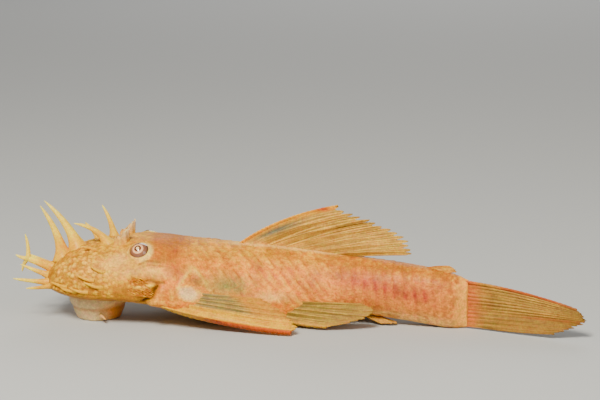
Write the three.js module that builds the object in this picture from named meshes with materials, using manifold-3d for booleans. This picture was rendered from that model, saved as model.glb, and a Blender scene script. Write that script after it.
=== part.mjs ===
// A male bristlenose pleco of the yellow albino form, modelled life size as it rests on its belly.
//
// The head carries branched tentacles, nostril flaps, eye rims and cheek spines. The trunk and the tail stalk
// carry rows of bony plates, each raised at its rear edge. The sucker mouth, the eyes and the fins are pieces
// of their own. Lengths are millimetres. A place on the fish is given by how far it lies behind the snout tip
// along the midline, how far out it lies towards the fish's left, and its height above the floor.

import * as THREE from "three";
import { mergeVertices } from "three/addons/utils/BufferGeometryUtils.js";
import Module from "manifold-3d";

const wasm = await Module();
wasm.setup();

const { degToRad, lerp, clamp, smoothstep } = THREE.MathUtils;

const GAP = 0.3; // clear space between neighbouring pieces
const LENGTH = 98.7; // snout tip to the root of the tail fin
const NOSE_LENGTH = 14; // the stretch over which the snout rounds off
const NOSE_HEIGHT = 8.6;
const NOSE_POWER = 2.3;
const BEND_START = 45; // the body is straight up to here
const BEND = degToRad(18); // turn of the tail towards the fish's left at the root of the tail fin
const BEND_RADIUS = (LENGTH - BEND_START) / BEND;

const GILL = 26.6; // where the head meets the trunk
const PLATE_START = 29; // front of the first body plate
const PLATES = 27; // plates in each row
const TRUNK_PLATES = 16; // of them on the trunk
const FRONT_PITCH = 3.0; // length of the first plate of a row
const REAR_PITCH = 2.1; // length of the last one
const PLATE_RISE = 0.4; // height of a plate's rear edge over the plate behind it
const PLATE_ROWS = 5; // rows of plates on each side
const WAIST = plateFront(TRUNK_PLATES); // where the trunk meets the tail stalk

// The body every few millimetres. The snout's rounding is applied on top of these sizes.
const COLUMNS = ["along", "half", "top", "bottom", "side", "upper", "lower"];
const BODY = [
  [0, 9.6, 14.8, 5.9, 8.6, 2.2, 2.6],
  [6, 11.6, 17.0, 5.5, 8.4, 2.2, 3.0],
  [14, 12.9, 18.5, 5.3, 8.2, 2.25, 3.2],
  [22, 13.5, 19.4, 5.0, 8.1, 2.3, 3.2],
  [27, 14.1, 19.4, 4.2, 7.8, 2.2, 3.0],
  [33, 14.5, 18.8, 2.2, 7.0, 2.0, 2.8],
  [40, 13.6, 18.2, 0.4, 6.2, 1.9, 2.8],
  [47, 12.0, 17.6, -0.3, 5.8, 1.85, 2.8],
  [56, 10.2, 16.9, -0.2, 5.7, 1.9, 2.7],
  [65, 8.4, 15.9, 1.2, 6.4, 1.95, 2.4],
  [73, 7.0, 15.1, 2.1, 7.2, 2.0, 2.2],
  [82, 5.7, 14.3, 1.25, 7.3, 2.1, 2.2],
  [90, 4.7, 13.3, 0.4, 6.9, 2.3, 2.3],
  [95.5, 3.7, 12.2, -0.05, 6.3, 2.3, 2.3],
  [98.9, 2.0, 11.4, 0.1, 5.9, 2.2, 2.2],
];

// Eyes
const EYE_ALONG = 23.2;
const EYE_TURN = 0.7; // angle round the body from the midline of the back
const EYE_RADIUS = 2.7;
const EYE_SINK = 1.35; // how far the ball's middle lies under the skin
const EYE_RIM = { ring: 2.4, thick: 0.62, stand: -0.05 };

// Sucker mouth. Its profile runs from the top down, then in under the rim to the cup, as shares of the lip's
// radius and heights.
const MOUTH = { along: 12.4, lip: 7.4, wide: 1.12, long: 0.95 };
const MOUTH_PROFILE = [
  [0, 8.0], [0.96, 8.0], [0.99, 5.2], [0.97, 4.0], [0.92, 2.9], [0.86, 1.9], [0.83, 1.1],
  [0.82, 0.35], [0.78, 0], [0.66, 0], [0.5, 0.9], [0.28, 1.6], [0, 1.7],
];
const BARBEL = { behind: 1.2, out: 0.82, up: 1.3, length: 3.2, radius: 0.45, tip: 0.22 };

// Soft tentacles: root along and round the body, then length, root radius, lift above level at the root and
// at the tip, and splay from straight ahead towards the fish's left. The first group stands along the snout's
// midline and its two arms, the second round the front edge.
const TENTACLES = [
  { along: 7.6, turn: 0.1, length: 12.8, radius: 1.5, lift: [72, 40], splay: [4, -6] },
  { along: 3.9, turn: 0.16, length: 12.4, radius: 1.4, lift: [82, 54], splay: [20, 0] },
  { along: 15.4, turn: 0.3, length: 9.2, radius: 1.0, lift: [62, 8], splay: [14, 4] },
  { along: 15.6, turn: -0.3, length: 7.4, radius: 0.9, lift: [84, 58], splay: [-10, -6] },
  { along: 13.4, turn: 0.52, length: 3.2, radius: 0.42, lift: [30, 8], splay: [20, 6] },
  { along: 11.6, turn: -0.5, length: 5.2, radius: 0.6, lift: [60, 30], splay: [-40, -30] },
  { along: 1.5, turn: -0.95, length: 6.8, radius: 0.75, lift: [24, 20], splay: [-14, -8] },
  { along: 1.3, turn: 1.5, length: 7.6, radius: 0.72, lift: [6, 9], splay: [22, 4] },
  { along: 2.1, turn: 1.8, length: 5.4, radius: 0.6, lift: [-6, 2], splay: [34, 16] },
  { along: 2.6, turn: -1.5, length: 6.6, radius: 0.68, lift: [8, 14], splay: [-44, -26] },
  { along: 4.6, turn: -1.45, length: 5.4, radius: 0.6, lift: [8, 22], splay: [-66, -50] },
  { along: 7.8, turn: -1.5, length: 4.0, radius: 0.5, lift: [4, 18], splay: [-84, -62] },
];
const FORKED = {
  along: 1.7,
  turn: 0.35,
  length: 6.2,
  radius: 1.3,
  tipRadius: 0.62,
  lift: [24, 20],
  splay: [16, 6],
};
const FORKS = [
  { length: 5.6, lift: [96, 74], splay: [0, 0] },
  { length: 3.0, lift: [4, 32], splay: [24, 0] },
  { length: 3.7, lift: [-40, -84], splay: [-20, 0] },
];
// Small tentacles that lie almost flat on the cheeks, the same on both sides.
const CHEEK_TENTACLES = [
  { along: 15.0, turn: 1.12, length: 2.6 },
  { along: 12.6, turn: 1.3, length: 3.3 },
  { along: 14.6, turn: 1.45, length: 3.4 },
  { along: 11.2, turn: 1.6, length: 3.4 },
  { along: 8.4, turn: 1.62, length: 2.8 },
  { along: 6.0, turn: 1.5, length: 2.6 },
];
const CHEEK_RADIUS = 0.42;
const TENTACLE_TIP = 0.28;
const ROOT_SINK = 1.0; // how deep a tentacle starts under the skin
// The patch of hooked spines on each cheek
const CHEEK_SPINES = { rows: 3, perRow: 4, along: 20.6, turn: 1.3, stepAlong: 1.05, stepTurn: 0.13 };
// Each nostril is a short tube with a higher flap behind.
const NOSTRIL = { along: 19.0, turn: 0.34, radius: 1.25, hole: 0.7, rise: 1.9, lean: 0.5 };

// Fins. Each ray runs from its root to its tip, both as [along, out, height], with a bow of the middle in the
// same directions. The first ray is the stiff spine.
const DORSAL_ROOTS = [45.6, 47.6, 50.6, 53.8, 57.0, 60.2, 63.4, 66.6];
const DORSAL_TIPS = [
  [67.8, 26.9], [70.6, 25.4], [73.8, 24.0], [77.2, 22.6],
  [80.4, 21.1], [83.2, 19.4], [84.6, 17.5], [84.0, 15.7],
];
const DORSAL_BOWS = [5.6, 4.0, 2.8, 2.0, 1.4, 1.0, 0.7, 0.5];
const ROOT_DEPTH = 1.4; // how deep a fin is laid out under the skin before it is cut back to meet it
const PECTORAL = [
  { root: [28.6, 11.6, 5.4], tip: [60.2, 18.4, 0.9], bow: [0, 2.8, -1.7] },
  { root: [29.8, 12.4, 6.0], tip: [61.8, 16.8, 1.7], bow: [0, 2.3, -0.9] },
  { root: [30.6, 12.8, 6.6], tip: [60.2, 15.9, 3.0], bow: [0, 2.0, -0.5] },
  { root: [31.4, 13.0, 7.2], tip: [58.4, 15.0, 4.3], bow: [0, 1.7, -0.3] },
  { root: [32.2, 13.1, 7.7], tip: [56.4, 14.3, 5.4], bow: [0, 1.5, 0] },
  { root: [33.0, 13.1, 8.2], tip: [54.2, 13.7, 6.5], bow: [0, 1.3, 0.1] },
  { root: [33.8, 13.0, 8.6], tip: [52.0, 13.2, 7.4], bow: [0, 1.2, 0.2] },
];
const PELVIC = [
  { root: [51.6, 8.2, 2.2], tip: [67.6, 11.6, 0.9], bow: [0, 1.4, -0.6] },
  { root: [52.4, 8.4, 3.0], tip: [72.2, 11.0, 1.7], bow: [0, 1.3, -0.3] },
  { root: [53.2, 8.6, 3.8], tip: [76.0, 10.1, 2.7], bow: [0, 1.2, -0.1] },
  { root: [54.0, 8.7, 4.6], tip: [78.4, 9.2, 3.8], bow: [0, 1.1, 0] },
  { root: [54.8, 8.8, 5.3], tip: [78.6, 8.5, 4.9], bow: [0, 1.0, 0.1] },
  { root: [55.6, 8.8, 6.0], tip: [75.8, 8.3, 6.0], bow: [0, 1.0, 0.2] },
];
const ANAL = [
  { root: [71.4, 0.4, 3.4], tip: [79.6, 3.9, 0.55], bow: [0, 0.6, -0.5] },
  { root: [72.4, 0.3, 3.4], tip: [81.6, 3.6, 0.6], bow: [0, 0.5, -0.5] },
  { root: [73.4, 0.2, 3.4], tip: [82.8, 3.0, 0.62], bow: [0, 0.3, -0.6] },
  { root: [74.4, 0.1, 3.3], tip: [82.8, 2.2, 0.62], bow: [0, 0, -0.8] },
];
const ADIPOSE = [
  { root: [86.6, 0, 12.6], tip: [94.6, 0, 14.1], bow: [0, 0, 0.9] },
  { root: [89.6, 0, 12.2], tip: [95.8, 0, 13.5], bow: [0, 0, 0.6] },
  { root: [92.4, 0, 11.8], tip: [96.2, 0, 12.8], bow: [0, 0, 0.4] },
];
const CAUDAL_RAYS = 9;
const CAUDAL_ROOT = 97.0;
const CAUDAL_CREASE = 0.28; // share of the tail fin, from below, that folds out over the floor
const CAUDAL_REACH = 28.6; // how far the longest ray reaches behind the tail's root

// Places on the body

function midline(along) {
  const heading = (Math.max(along - BEND_START, 0) / (LENGTH - BEND_START)) * BEND;
  const straight = Math.min(along, BEND_START);
  return {
    x: straight + BEND_RADIUS * Math.sin(heading),
    y: -BEND_RADIUS * (1 - Math.cos(heading)),
    heading,
  };
}

function place(along, out, height) {
  const { x, y, heading } = midline(along);
  return new THREE.Vector3(x - Math.sin(heading) * out, y - Math.cos(heading) * out, height);
}

// A smooth curve through one column of the body table, with the snout rounded off.
function bodyAt(along) {
  const last = BODY.length - 1;
  const s = clamp(along, 0, BODY[last][0]);
  let i = 0;
  while (i < last - 1 && s > BODY[i + 1][0]) i++;
  const span = BODY[i + 1][0] - BODY[i][0];
  const t = (s - BODY[i][0]) / span;
  const slope = (j, c) => {
    const before = BODY[Math.max(j - 1, 0)];
    const after = BODY[Math.min(j + 1, last)];
    return (after[c] - before[c]) / (after[0] - before[0]);
  };
  const size = {};
  COLUMNS.forEach((name, c) => {
    const [from, to] = [BODY[i][c], BODY[i + 1][c]];
    const [leave, arrive] = [slope(i, c) * span, slope(i + 1, c) * span];
    const square = 3 * (to - from) - 2 * leave - arrive;
    const cube = 2 * (from - to) + leave + arrive;
    size[name] = from + t * (leave + t * (square + t * cube));
  });
  const toNose = 1 - Math.min(s, NOSE_LENGTH) / NOSE_LENGTH;
  const round = Math.pow(1 - Math.pow(toNose, NOSE_POWER), 1 / NOSE_POWER);
  size.half *= round;
  for (const name of ["top", "bottom", "side"]) size[name] = lerp(NOSE_HEIGHT, size[name], round);
  return size;
}

// The point of the smooth skin at an angle round the body, from the back's midline towards the left side.
function outline(along, turn) {
  const b = bodyAt(along);
  const [sin, cos] = [Math.sin(turn), Math.cos(turn)];
  const power = cos >= 0 ? b.upper : b.lower;
  const reach = Math.pow(Math.abs(sin) ** power + Math.abs(cos) ** power, -1 / power);
  const tall = cos >= 0 ? b.top - b.side : b.side - b.bottom;
  return place(along, b.half * reach * sin, b.side + tall * reach * cos);
}

function outward(along, turn) {
  const s = clamp(along, 0.3, BODY.at(-1)[0] - 0.1);
  const round = outline(s, turn + 0.02).sub(outline(s, turn - 0.02));
  const back = outline(s + 0.1, turn).sub(outline(s - 0.1, turn));
  return round.cross(back).normalize();
}

function skin(along, turn, lift = 0) {
  return outline(along, turn).addScaledVector(outward(along, turn), lift);
}

// Closed solids

// Turns shared vertices and triangles into a solid, whichever way round the triangles are.
function solid(points, triangles) {
  const flat = new Float32Array(points.flatMap((p) => [p.x, p.y, p.z]));
  const make = (order) => {
    const triVerts = new Uint32Array(order.flat());
    return new wasm.Manifold(new wasm.Mesh({ numProp: 3, vertProperties: flat, triVerts }));
  };
  const made = make(triangles);
  return made.volume() > 0 ? made : make(triangles.map(([a, b, c]) => [a, c, b]));
}

function solidFromGeometry(geometry) {
  geometry.deleteAttribute("normal");
  geometry.deleteAttribute("uv");
  const merged = mergeVertices(geometry, 1e-4);
  const position = merged.attributes.position;
  const points = [];
  for (let i = 0; i < position.count; i++) points.push(new THREE.Vector3().fromBufferAttribute(position, i));
  const triangles = [];
  for (let i = 0; i < merged.index.count; i += 3) {
    const corners = [0, 1, 2].map((k) => merged.index.getX(i + k));
    if (new Set(corners).size === 3) triangles.push(corners);
  }
  return solid(points, triangles);
}

// A skin through closed rings of equal length, with a point in front of the first and behind the last.
function loft(rings, front, rear) {
  const n = rings[0].length;
  const points = [...rings.flat(), front, rear];
  const triangles = [];
  for (let r = 0; r < rings.length - 1; r++)
    for (let i = 0; i < n; i++) {
      const [a, b] = [r * n + i, r * n + ((i + 1) % n)];
      triangles.push([a, b, b + n], [a, b + n, a + n]);
    }
  const lastRing = (rings.length - 1) * n;
  for (let i = 0; i < n; i++) {
    const next = (i + 1) % n;
    triangles.push([points.length - 2, next, i]);
    triangles.push([points.length - 1, lastRing + i, lastRing + next]);
  }
  return solid(points, triangles);
}

function middle(points) {
  return points.reduce((sum, p) => sum.add(p), new THREE.Vector3()).divideScalar(points.length);
}

// A round tube that tapers to a point at the far end of a curve.
function taperedTube(curve, rootRadius, tipRadius, sides, steps) {
  const frames = curve.computeFrenetFrames(steps);
  const rings = [];
  for (let k = 0; k < steps; k++) {
    const t = k / steps;
    const radius = lerp(rootRadius, tipRadius, Math.pow(t, 0.8)) * (1 + 0.35 * Math.pow(1 - t, 6));
    rings.push(
      Array.from({ length: sides }, (_, i) => {
        const a = (2 * Math.PI * i) / sides;
        return curve
          .getPointAt(t)
          .addScaledVector(frames.normals[k], radius * Math.cos(a))
          .addScaledVector(frames.binormals[k], radius * Math.sin(a));
      }),
    );
  }
  return loft(rings, middle(rings[0]), curve.getPointAt(1));
}

function ball(radius, centre, columns, rows) {
  const geometry = new THREE.SphereGeometry(radius, columns, rows);
  return solidFromGeometry(geometry.translate(centre.x, centre.y, centre.z));
}

function mirrored(made) {
  return made.mirror([0, 1, 0]);
}

// What lies below the floor, for cutting flats.
const FLOOR_SIZE = 300;
const floor = solidFromGeometry(new THREE.BoxGeometry(FLOOR_SIZE, FLOOR_SIZE, 20).translate(50, 0, -10));

// Keeps the largest closed surface of a solid.
function largest(made) {
  return made.decompose().sort((a, b) => b.volume() - a.volume())[0];
}

// Trunk and tail stalk, with their plates

// How far round from the back the plates reach: the belly is bare, and the tail stalk is clad all round.
function armourEdge(along) {
  return lerp(2.15, 2.8, smoothstep(along, 52, 74));
}

// Where a plate begins. The plates get shorter towards the tail.
function plateFront(plate) {
  return PLATE_START + plate * FRONT_PITCH - (plate ** 2 * (FRONT_PITCH - REAR_PITCH)) / (2 * PLATES);
}

// How far back a plate's edge lies at an angle round the body: the edges slant back and down on the trunk.
function slant(along, turn) {
  const side = Math.min(turn, 2 * Math.PI - turn, 2.2);
  const onTrunk = smoothstep(along, 30, 44) * (1 - smoothstep(along, 58, 76));
  const onStalk = smoothstep(along, 58, 76) * (1 - smoothstep(along, 90, 96));
  return (3.2 * onTrunk + 0.9 * onStalk) * (side - 1.1);
}

// Rings of skin points, two for each plate: its low front edge and its high rear edge.
function plateRings(firstPlate, plates, bellySteps, offset) {
  const columns = [];
  for (let p = firstPlate; p < firstPlate + plates; p++) {
    const [front, rear] = [plateFront(p), plateFront(p + 1)];
    columns.push({ along: front + 0.15, rise: 0 }, { along: lerp(front, rear, 0.88), rise: PLATE_RISE });
  }
  return columns.map(({ along, rise }) => ringAt(along, rise, bellySteps, offset));
}

function ringAt(along, rise, bellySteps, offset) {
  const edge = armourEdge(along);
  const left = [];
  for (let k = 1; k <= 2 * PLATE_ROWS; k++) left.push({ turn: (edge * k) / (2 * PLATE_ROWS), keel: k % 2 });
  for (let k = 1; k < bellySteps; k++) left.push({ turn: lerp(edge, Math.PI, k / bellySteps), keel: -1 });
  const right = left.map(({ turn, keel }) => ({ turn: 2 * Math.PI - turn, keel })).reverse();
  const round = [{ turn: 0, keel: 0 }, ...left, { turn: Math.PI, keel: -1 }, ...right];
  return round.map(({ turn, keel }) => {
    const lift = keel < 0 ? 0 : rise * (0.3 + 0.7 * keel);
    return skin(along + slant(along, turn), turn, lift + offset);
  });
}

function trunkSolid(offset = 0) {
  const rings = [
    ringAt(GILL + GAP / 2 - offset, 0, 4, offset),
    ...plateRings(0, TRUNK_PLATES, 4, offset),
    ringAt(WAIST - GAP / 2 + offset, 0, 4, offset),
  ];
  return loft(rings, middle(rings[0]), middle(rings.at(-1)));
}

function stalkSolid(offset = 0) {
  const rings = [
    ringAt(WAIST + GAP / 2 - offset, 0, 1, offset),
    ...plateRings(TRUNK_PLATES, PLATES - TRUNK_PLATES, 1, offset).slice(1),
    ringAt(LENGTH + 0.15 + offset, 0, 1, offset * 0.5),
  ];
  return loft(rings, middle(rings[0]), middle(rings.at(-1)));
}

// Head

const HEAD_SIDES = 36;
const HEAD_RINGS = 24;

function headSolid(offset = 0) {
  const rings = [];
  const rear = GILL - GAP / 2 + offset;
  for (let k = 1; k <= HEAD_RINGS; k++) {
    const share = k / HEAD_RINGS;
    const along = rear * lerp(share ** 2, 1 - Math.cos((share * Math.PI) / 2), 0.55);
    rings.push(
      Array.from({ length: HEAD_SIDES }, (_, i) => {
        const turn = (2 * Math.PI * i) / HEAD_SIDES;
        return skin(along, turn, headRelief(along, turn) + offset);
      }),
    );
  }
  return loft(rings, new THREE.Vector3(-offset, 0, NOSE_HEIGHT), middle(rings.at(-1)));
}

// The brow over each eye, the hollow before it, the swell of the cheek and the fleshy edge of the snout.
function headRelief(along, turn) {
  const side = Math.abs(turn > Math.PI ? turn - 2 * Math.PI : turn);
  const swell = (atAlong, atTurn, reachAlong, reachTurn) =>
    Math.exp(-(((along - atAlong) / reachAlong) ** 2) - ((side - atTurn) / reachTurn) ** 2);
  return (
    0.15 * swell(EYE_ALONG - 0.2, EYE_TURN - 0.26, 3.2, 0.2) -
    0.4 * swell(16.2, EYE_TURN + 0.1, 3.0, 0.25) +
    0.5 * swell(19.5, 1.4, 4.0, 0.3) +
    0.35 * swell(4.5, 1.75, 5.0, 0.25)
  );
}

// The direction that points ahead, lifted above level and splayed towards the fish's left.
function ahead(liftDeg, splayDeg) {
  const [lift, splay] = [degToRad(liftDeg), degToRad(splayDeg)];
  const level = Math.cos(lift);
  return new THREE.Vector3(-level * Math.cos(splay), -level * Math.sin(splay), Math.sin(lift));
}

function tentacleCurve(root, length, lift, splay) {
  const knee = root.clone().addScaledVector(ahead(lift[0], splay[0]), length * 0.5);
  const tip = knee.clone().addScaledVector(ahead(lift[1], splay[1]), length * 0.55);
  return new THREE.QuadraticBezierCurve3(root, knee, tip);
}

function tentacle({ along, turn, length, radius, lift, splay }) {
  const root = skin(along, turn, -ROOT_SINK);
  return taperedTube(tentacleCurve(root, length + ROOT_SINK, lift, splay), radius, TENTACLE_TIP, 6, 6);
}

function forkedTentacle() {
  const { along, turn, length, radius, tipRadius, lift, splay } = FORKED;
  const trunk = tentacleCurve(skin(along, turn, -ROOT_SINK), length + ROOT_SINK, lift, splay);
  const pieces = [taperedTube(trunk, radius, tipRadius, 6, 5)];
  const fork = trunk.getPointAt(0.9);
  for (const branch of FORKS) {
    const curve = tentacleCurve(fork, branch.length, branch.lift, branch.splay);
    pieces.push(taperedTube(curve, tipRadius, 0.24, 5, 4));
  }
  return pieces;
}

// A small tentacle that leaves the cheek and lies along it, pointing ahead and a little up.
function cheekTentacle({ along, turn, length }) {
  const root = skin(along + 0.5, turn, -0.5);
  const knee = skin(along - length * 0.35, turn - 0.02, 0.55);
  const tip = skin(along - length, turn - 0.12, 1.0);
  return taperedTube(new THREE.QuadraticBezierCurve3(root, knee, tip), CHEEK_RADIUS, 0.24, 5, 3);
}

function cheekSpines() {
  const { rows, perRow, along, turn, stepAlong, stepTurn } = CHEEK_SPINES;
  const spines = [];
  for (let r = 0; r < rows; r++)
    for (let c = 0; c < perRow; c++) {
      const s = along + c * stepAlong + r * 0.4;
      const a = turn + r * stepTurn;
      const curve = new THREE.QuadraticBezierCurve3(
        skin(s, a, -0.6),
        skin(s + 0.3, a, 0.9),
        skin(s + 1.5 + 0.2 * c, a + 0.05, 1.3),
      );
      spines.push(taperedTube(curve, 0.34, 0.2, 3, 2));
    }
  return spines;
}

// A ring laid on the skin at a place, with its axis along the way out.
function ringOnSkin(centre, axis, ring, thick) {
  const geometry = new THREE.TorusGeometry(ring, thick, 5, 14);
  geometry.applyQuaternion(new THREE.Quaternion().setFromUnitVectors(new THREE.Vector3(0, 0, 1), axis));
  return solidFromGeometry(geometry.translate(centre.x, centre.y, centre.z));
}

// The eye looks a little more sideways than the skin round it does.
function eyeAxis() {
  return outward(EYE_ALONG, EYE_TURN).add(new THREE.Vector3(-0.1, -0.22, -0.1)).normalize();
}

function eyeCentre() {
  return outline(EYE_ALONG, EYE_TURN).addScaledVector(eyeAxis(), -EYE_SINK);
}

function eyeRim() {
  const centre = outline(EYE_ALONG, EYE_TURN).addScaledVector(eyeAxis(), EYE_RIM.stand);
  return ringOnSkin(centre, eyeAxis(), EYE_RIM.ring, EYE_RIM.thick);
}

// A short upright tube of skin round the nostril, higher at the rear.
function nostril() {
  const { along, turn, radius, hole, rise, lean } = NOSTRIL;
  const profile = [
    [0, -1.2],
    [radius * 1.15, -1.2],
    [radius, rise * 0.5],
    [radius * 0.8, rise],
    [hole, rise],
    [hole * 0.8, 0.2],
    [0, 0],
  ].map(([r, h]) => new THREE.Vector2(r, h));
  const geometry = new THREE.LatheGeometry(profile, 9);
  const position = geometry.attributes.position;
  for (let i = 0; i < position.count; i++) {
    const [x, y] = [position.getX(i), position.getY(i)];
    if (y < 0.4) continue;
    position.setY(i, y * (1 + lean * (x / radius)));
    position.setX(i, x + 0.3 * y);
  }
  geometry.rotateX(Math.PI / 2);
  const root = skin(along, turn, 0);
  return solidFromGeometry(geometry.translate(root.x, root.y, root.z));
}

function head() {
  const oneSide = [
    eyeRim(),
    nostril(),
    ...CHEEK_TENTACLES.map(cheekTentacle),
    ...cheekSpines(),
  ];
  const tentacles = [...TENTACLES.map(tentacle), ...forkedTentacle()];
  const whole = wasm.Manifold.union([headSolid(), ...oneSide, ...oneSide.map(mirrored), ...tentacles]);
  const socket = ball(EYE_RADIUS + GAP, eyeCentre(), 16, 10);
  return largest(whole.subtract(socket).subtract(mirrored(socket)));
}

// The sucker mouth: a round fleshy muzzle that narrows to a flat rim, hollow inside, with a barbel at each side.
function mouth() {
  const { along, lip, wide, long } = MOUTH;
  const profile = MOUTH_PROFILE.map(([share, height]) => new THREE.Vector2(lip * share, height));
  const geometry = new THREE.LatheGeometry(profile, 26);
  geometry.rotateX(Math.PI / 2).scale(long, wide, 1).translate(along, 0, 0);
  const root = new THREE.Vector3(along + BARBEL.behind, -lip * wide * BARBEL.out, BARBEL.up);
  const knee = root.clone().add(new THREE.Vector3(0.6, -BARBEL.length * 0.5, 0.3));
  const tip = root.clone().add(new THREE.Vector3(1.6, -BARBEL.length, -0.1));
  const curve = new THREE.QuadraticBezierCurve3(root, knee, tip);
  const barbel = taperedTube(curve, BARBEL.radius, BARBEL.tip, 5, 4);
  const pieces = [solidFromGeometry(geometry), barbel, mirrored(barbel)];
  return largest(wasm.Manifold.union(pieces).subtract(headSolid(GAP)).subtract(floor));
}

// Fins

// A thin slab over a grid of points, with its own half thickness at each. Both faces are split alike.
function slab(grid, halves) {
  const [lines, steps] = [grid.length, grid[0].length];
  const at = (i, k) => grid[clamp(i, 0, lines - 1)][clamp(k, 0, steps - 1)];
  const points = [];
  for (const facing of [1, -1])
    for (let i = 0; i < lines; i++)
      for (let k = 0; k < steps; k++) {
        const across = at(i + 1, k).clone().sub(at(i - 1, k));
        const along = at(i, k + 1).clone().sub(at(i, k - 1));
        points.push(at(i, k).clone().addScaledVector(across.cross(along).normalize(), facing * halves[i][k]));
      }
  const index = (i, k) => i * steps + k;
  const under = lines * steps;
  const triangles = [];
  for (let i = 0; i < lines - 1; i++)
    for (let k = 0; k < steps - 1; k++) {
      const [a, b, c, d] = [index(i, k), index(i + 1, k), index(i + 1, k + 1), index(i, k + 1)];
      triangles.push([a, b, c], [a, c, d]);
      triangles.push([c + under, b + under, a + under], [d + under, c + under, a + under]);
    }
  const rim = [];
  for (let i = 0; i < lines - 1; i++) rim.push([index(i, 0), index(i + 1, 0)]);
  for (let k = 0; k < steps - 1; k++) rim.push([index(lines - 1, k), index(lines - 1, k + 1)]);
  for (let i = lines - 1; i > 0; i--) rim.push([index(i, steps - 1), index(i - 1, steps - 1)]);
  for (let k = steps - 1; k > 0; k--) rim.push([index(0, k), index(0, k - 1)]);
  for (const [a, b] of rim) triangles.push([a + under, b + under, b], [a + under, b, a]);
  return solid(points, triangles);
}

// A fin from its rays: each ray is a ridge, and the membrane between two is thinner and a little shorter.
function fin(rays, { spine, rib, web, steps, notch = 0.035, spineWidth = 0.8 }) {
  const curves = rays.map(({ root, tip, bow }) => {
    const knee = root.map((value, i) => (value + tip[i]) / 2 + bow[i]);
    const on = (i, t) => (1 - t) ** 2 * root[i] + 2 * t * (1 - t) * knee[i] + t * t * tip[i];
    return (t) => place(on(0, t), on(1, t), on(2, t));
  });
  const ts = Array.from({ length: steps + 1 }, (_, k) => k / steps);
  const grid = [];
  const halves = [];
  const addLine = (pointAt, halfAt) => {
    grid.push(ts.map(pointAt));
    halves.push(ts.map(halfAt));
  };
  const taper = (thick, tipShare) => (t) => thick * lerp(1, tipShare, t ** 1.5);
  curves.forEach((curve, i) => {
    if (i === 0) {
      const edge = (t) => curve(t).lerp(curves[1](t), -spineWidth / curve(t).distanceTo(curves[1](t)));
      addLine((t) => edge(t), taper(spine * 0.4, 0.7));
    }
    addLine(curve, taper(i === 0 ? spine : rib, i === 0 ? 0.55 : 0.5));
    if (i < curves.length - 1) {
      const next = curves[i + 1];
      addLine((t) => curve(t * (1 - notch)).lerp(next(t * (1 - notch)), 0.5), taper(web, 0.75));
    }
  });
  return slab(grid, halves);
}

function dorsalRays() {
  return DORSAL_ROOTS.map((along, i) => {
    const [tipAlong, tipHeight] = DORSAL_TIPS[i];
    const sway = 0.5 * Math.sin(i * 1.3);
    return {
      root: [along, 0, bodyAt(along).top - ROOT_DEPTH],
      tip: [tipAlong, sway, tipHeight],
      bow: [-0.35 * DORSAL_BOWS[i], 0.5 * sway, 0.5 * DORSAL_BOWS[i]],
    };
  });
}

// The half-folded tail fin: its top edge slopes down to the tip, and its lowest part folds out over the
// floor.
function caudalRays() {
  return Array.from({ length: CAUDAL_RAYS }, (_, i) => {
    const up = 1 - i / (CAUDAL_RAYS - 1);
    const fold = Math.max(0, 1 - up / CAUDAL_CREASE);
    const length = CAUDAL_REACH - 2.4 * up ** 2 - 7.0 * fold;
    return {
      root: [CAUDAL_ROOT, 0, 1.2 + 9.2 * up],
      tip: [LENGTH + length, 2.4 * fold, lerp(lerp(3.2, 6.6, up), 1.3, fold)],
      bow: [0, 0.8 * fold, 1.6 * up - 0.7 * (1 - up)],
    };
  });
}

// The trunk, head and stalk as they are for cutting a fin back, so that it meets them with the usual gap.
const clearance = wasm.Manifold.union([headSolid(GAP), trunkSolid(GAP), stalkSolid(GAP)]);

function fitted(made) {
  return largest(made.subtract(clearance).subtract(floor));
}

// Half thicknesses of each fin's spine, rays and membrane, its steps from root to tip, and its spine's width
const BUILD = {
  dorsal: { spine: 0.75, rib: 0.42, web: 0.27, steps: 8 },
  adipose: { spine: 0.5, rib: 0.35, web: 0.27, steps: 4, spineWidth: 0.4 },
  caudal: { spine: 0.7, rib: 0.5, web: 0.3, steps: 8, spineWidth: 0.4 },
  anal: { spine: 0.4, rib: 0.36, web: 0.26, steps: 5, spineWidth: 0.4 },
  pectoral: { spine: 1.0, rib: 0.5, web: 0.3, steps: 9, spineWidth: 1.1 },
  pelvic: { spine: 0.7, rib: 0.45, web: 0.28, steps: 7 },
};
const pectoralLeft = fitted(fin(PECTORAL, BUILD.pectoral));
const pelvicLeft = fitted(fin(PELVIC, BUILD.pelvic));

// The right side of the straight front half mirrors the left. Further back the body bends, so a right fin is
// laid out on the bent midline with its distances out reversed.
function otherSide(rays) {
  return rays.map(({ root, tip, bow }) => ({
    root: [root[0], -root[1], root[2]],
    tip: [tip[0], -tip[1], tip[2]],
    bow: [bow[0], -bow[1], bow[2]],
  }));
}

const COLOURS = {
  skin: { color: 0xe2a85c, roughness: 0.5 },
  plates: { color: 0xe0a070, roughness: 0.5 },
  fin: { color: 0xd8a24c, roughness: 0.45 },
  lip: { color: 0xe6b79a, roughness: 0.5 },
  eye: { color: 0xb07a72, roughness: 0.15 },
};

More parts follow.
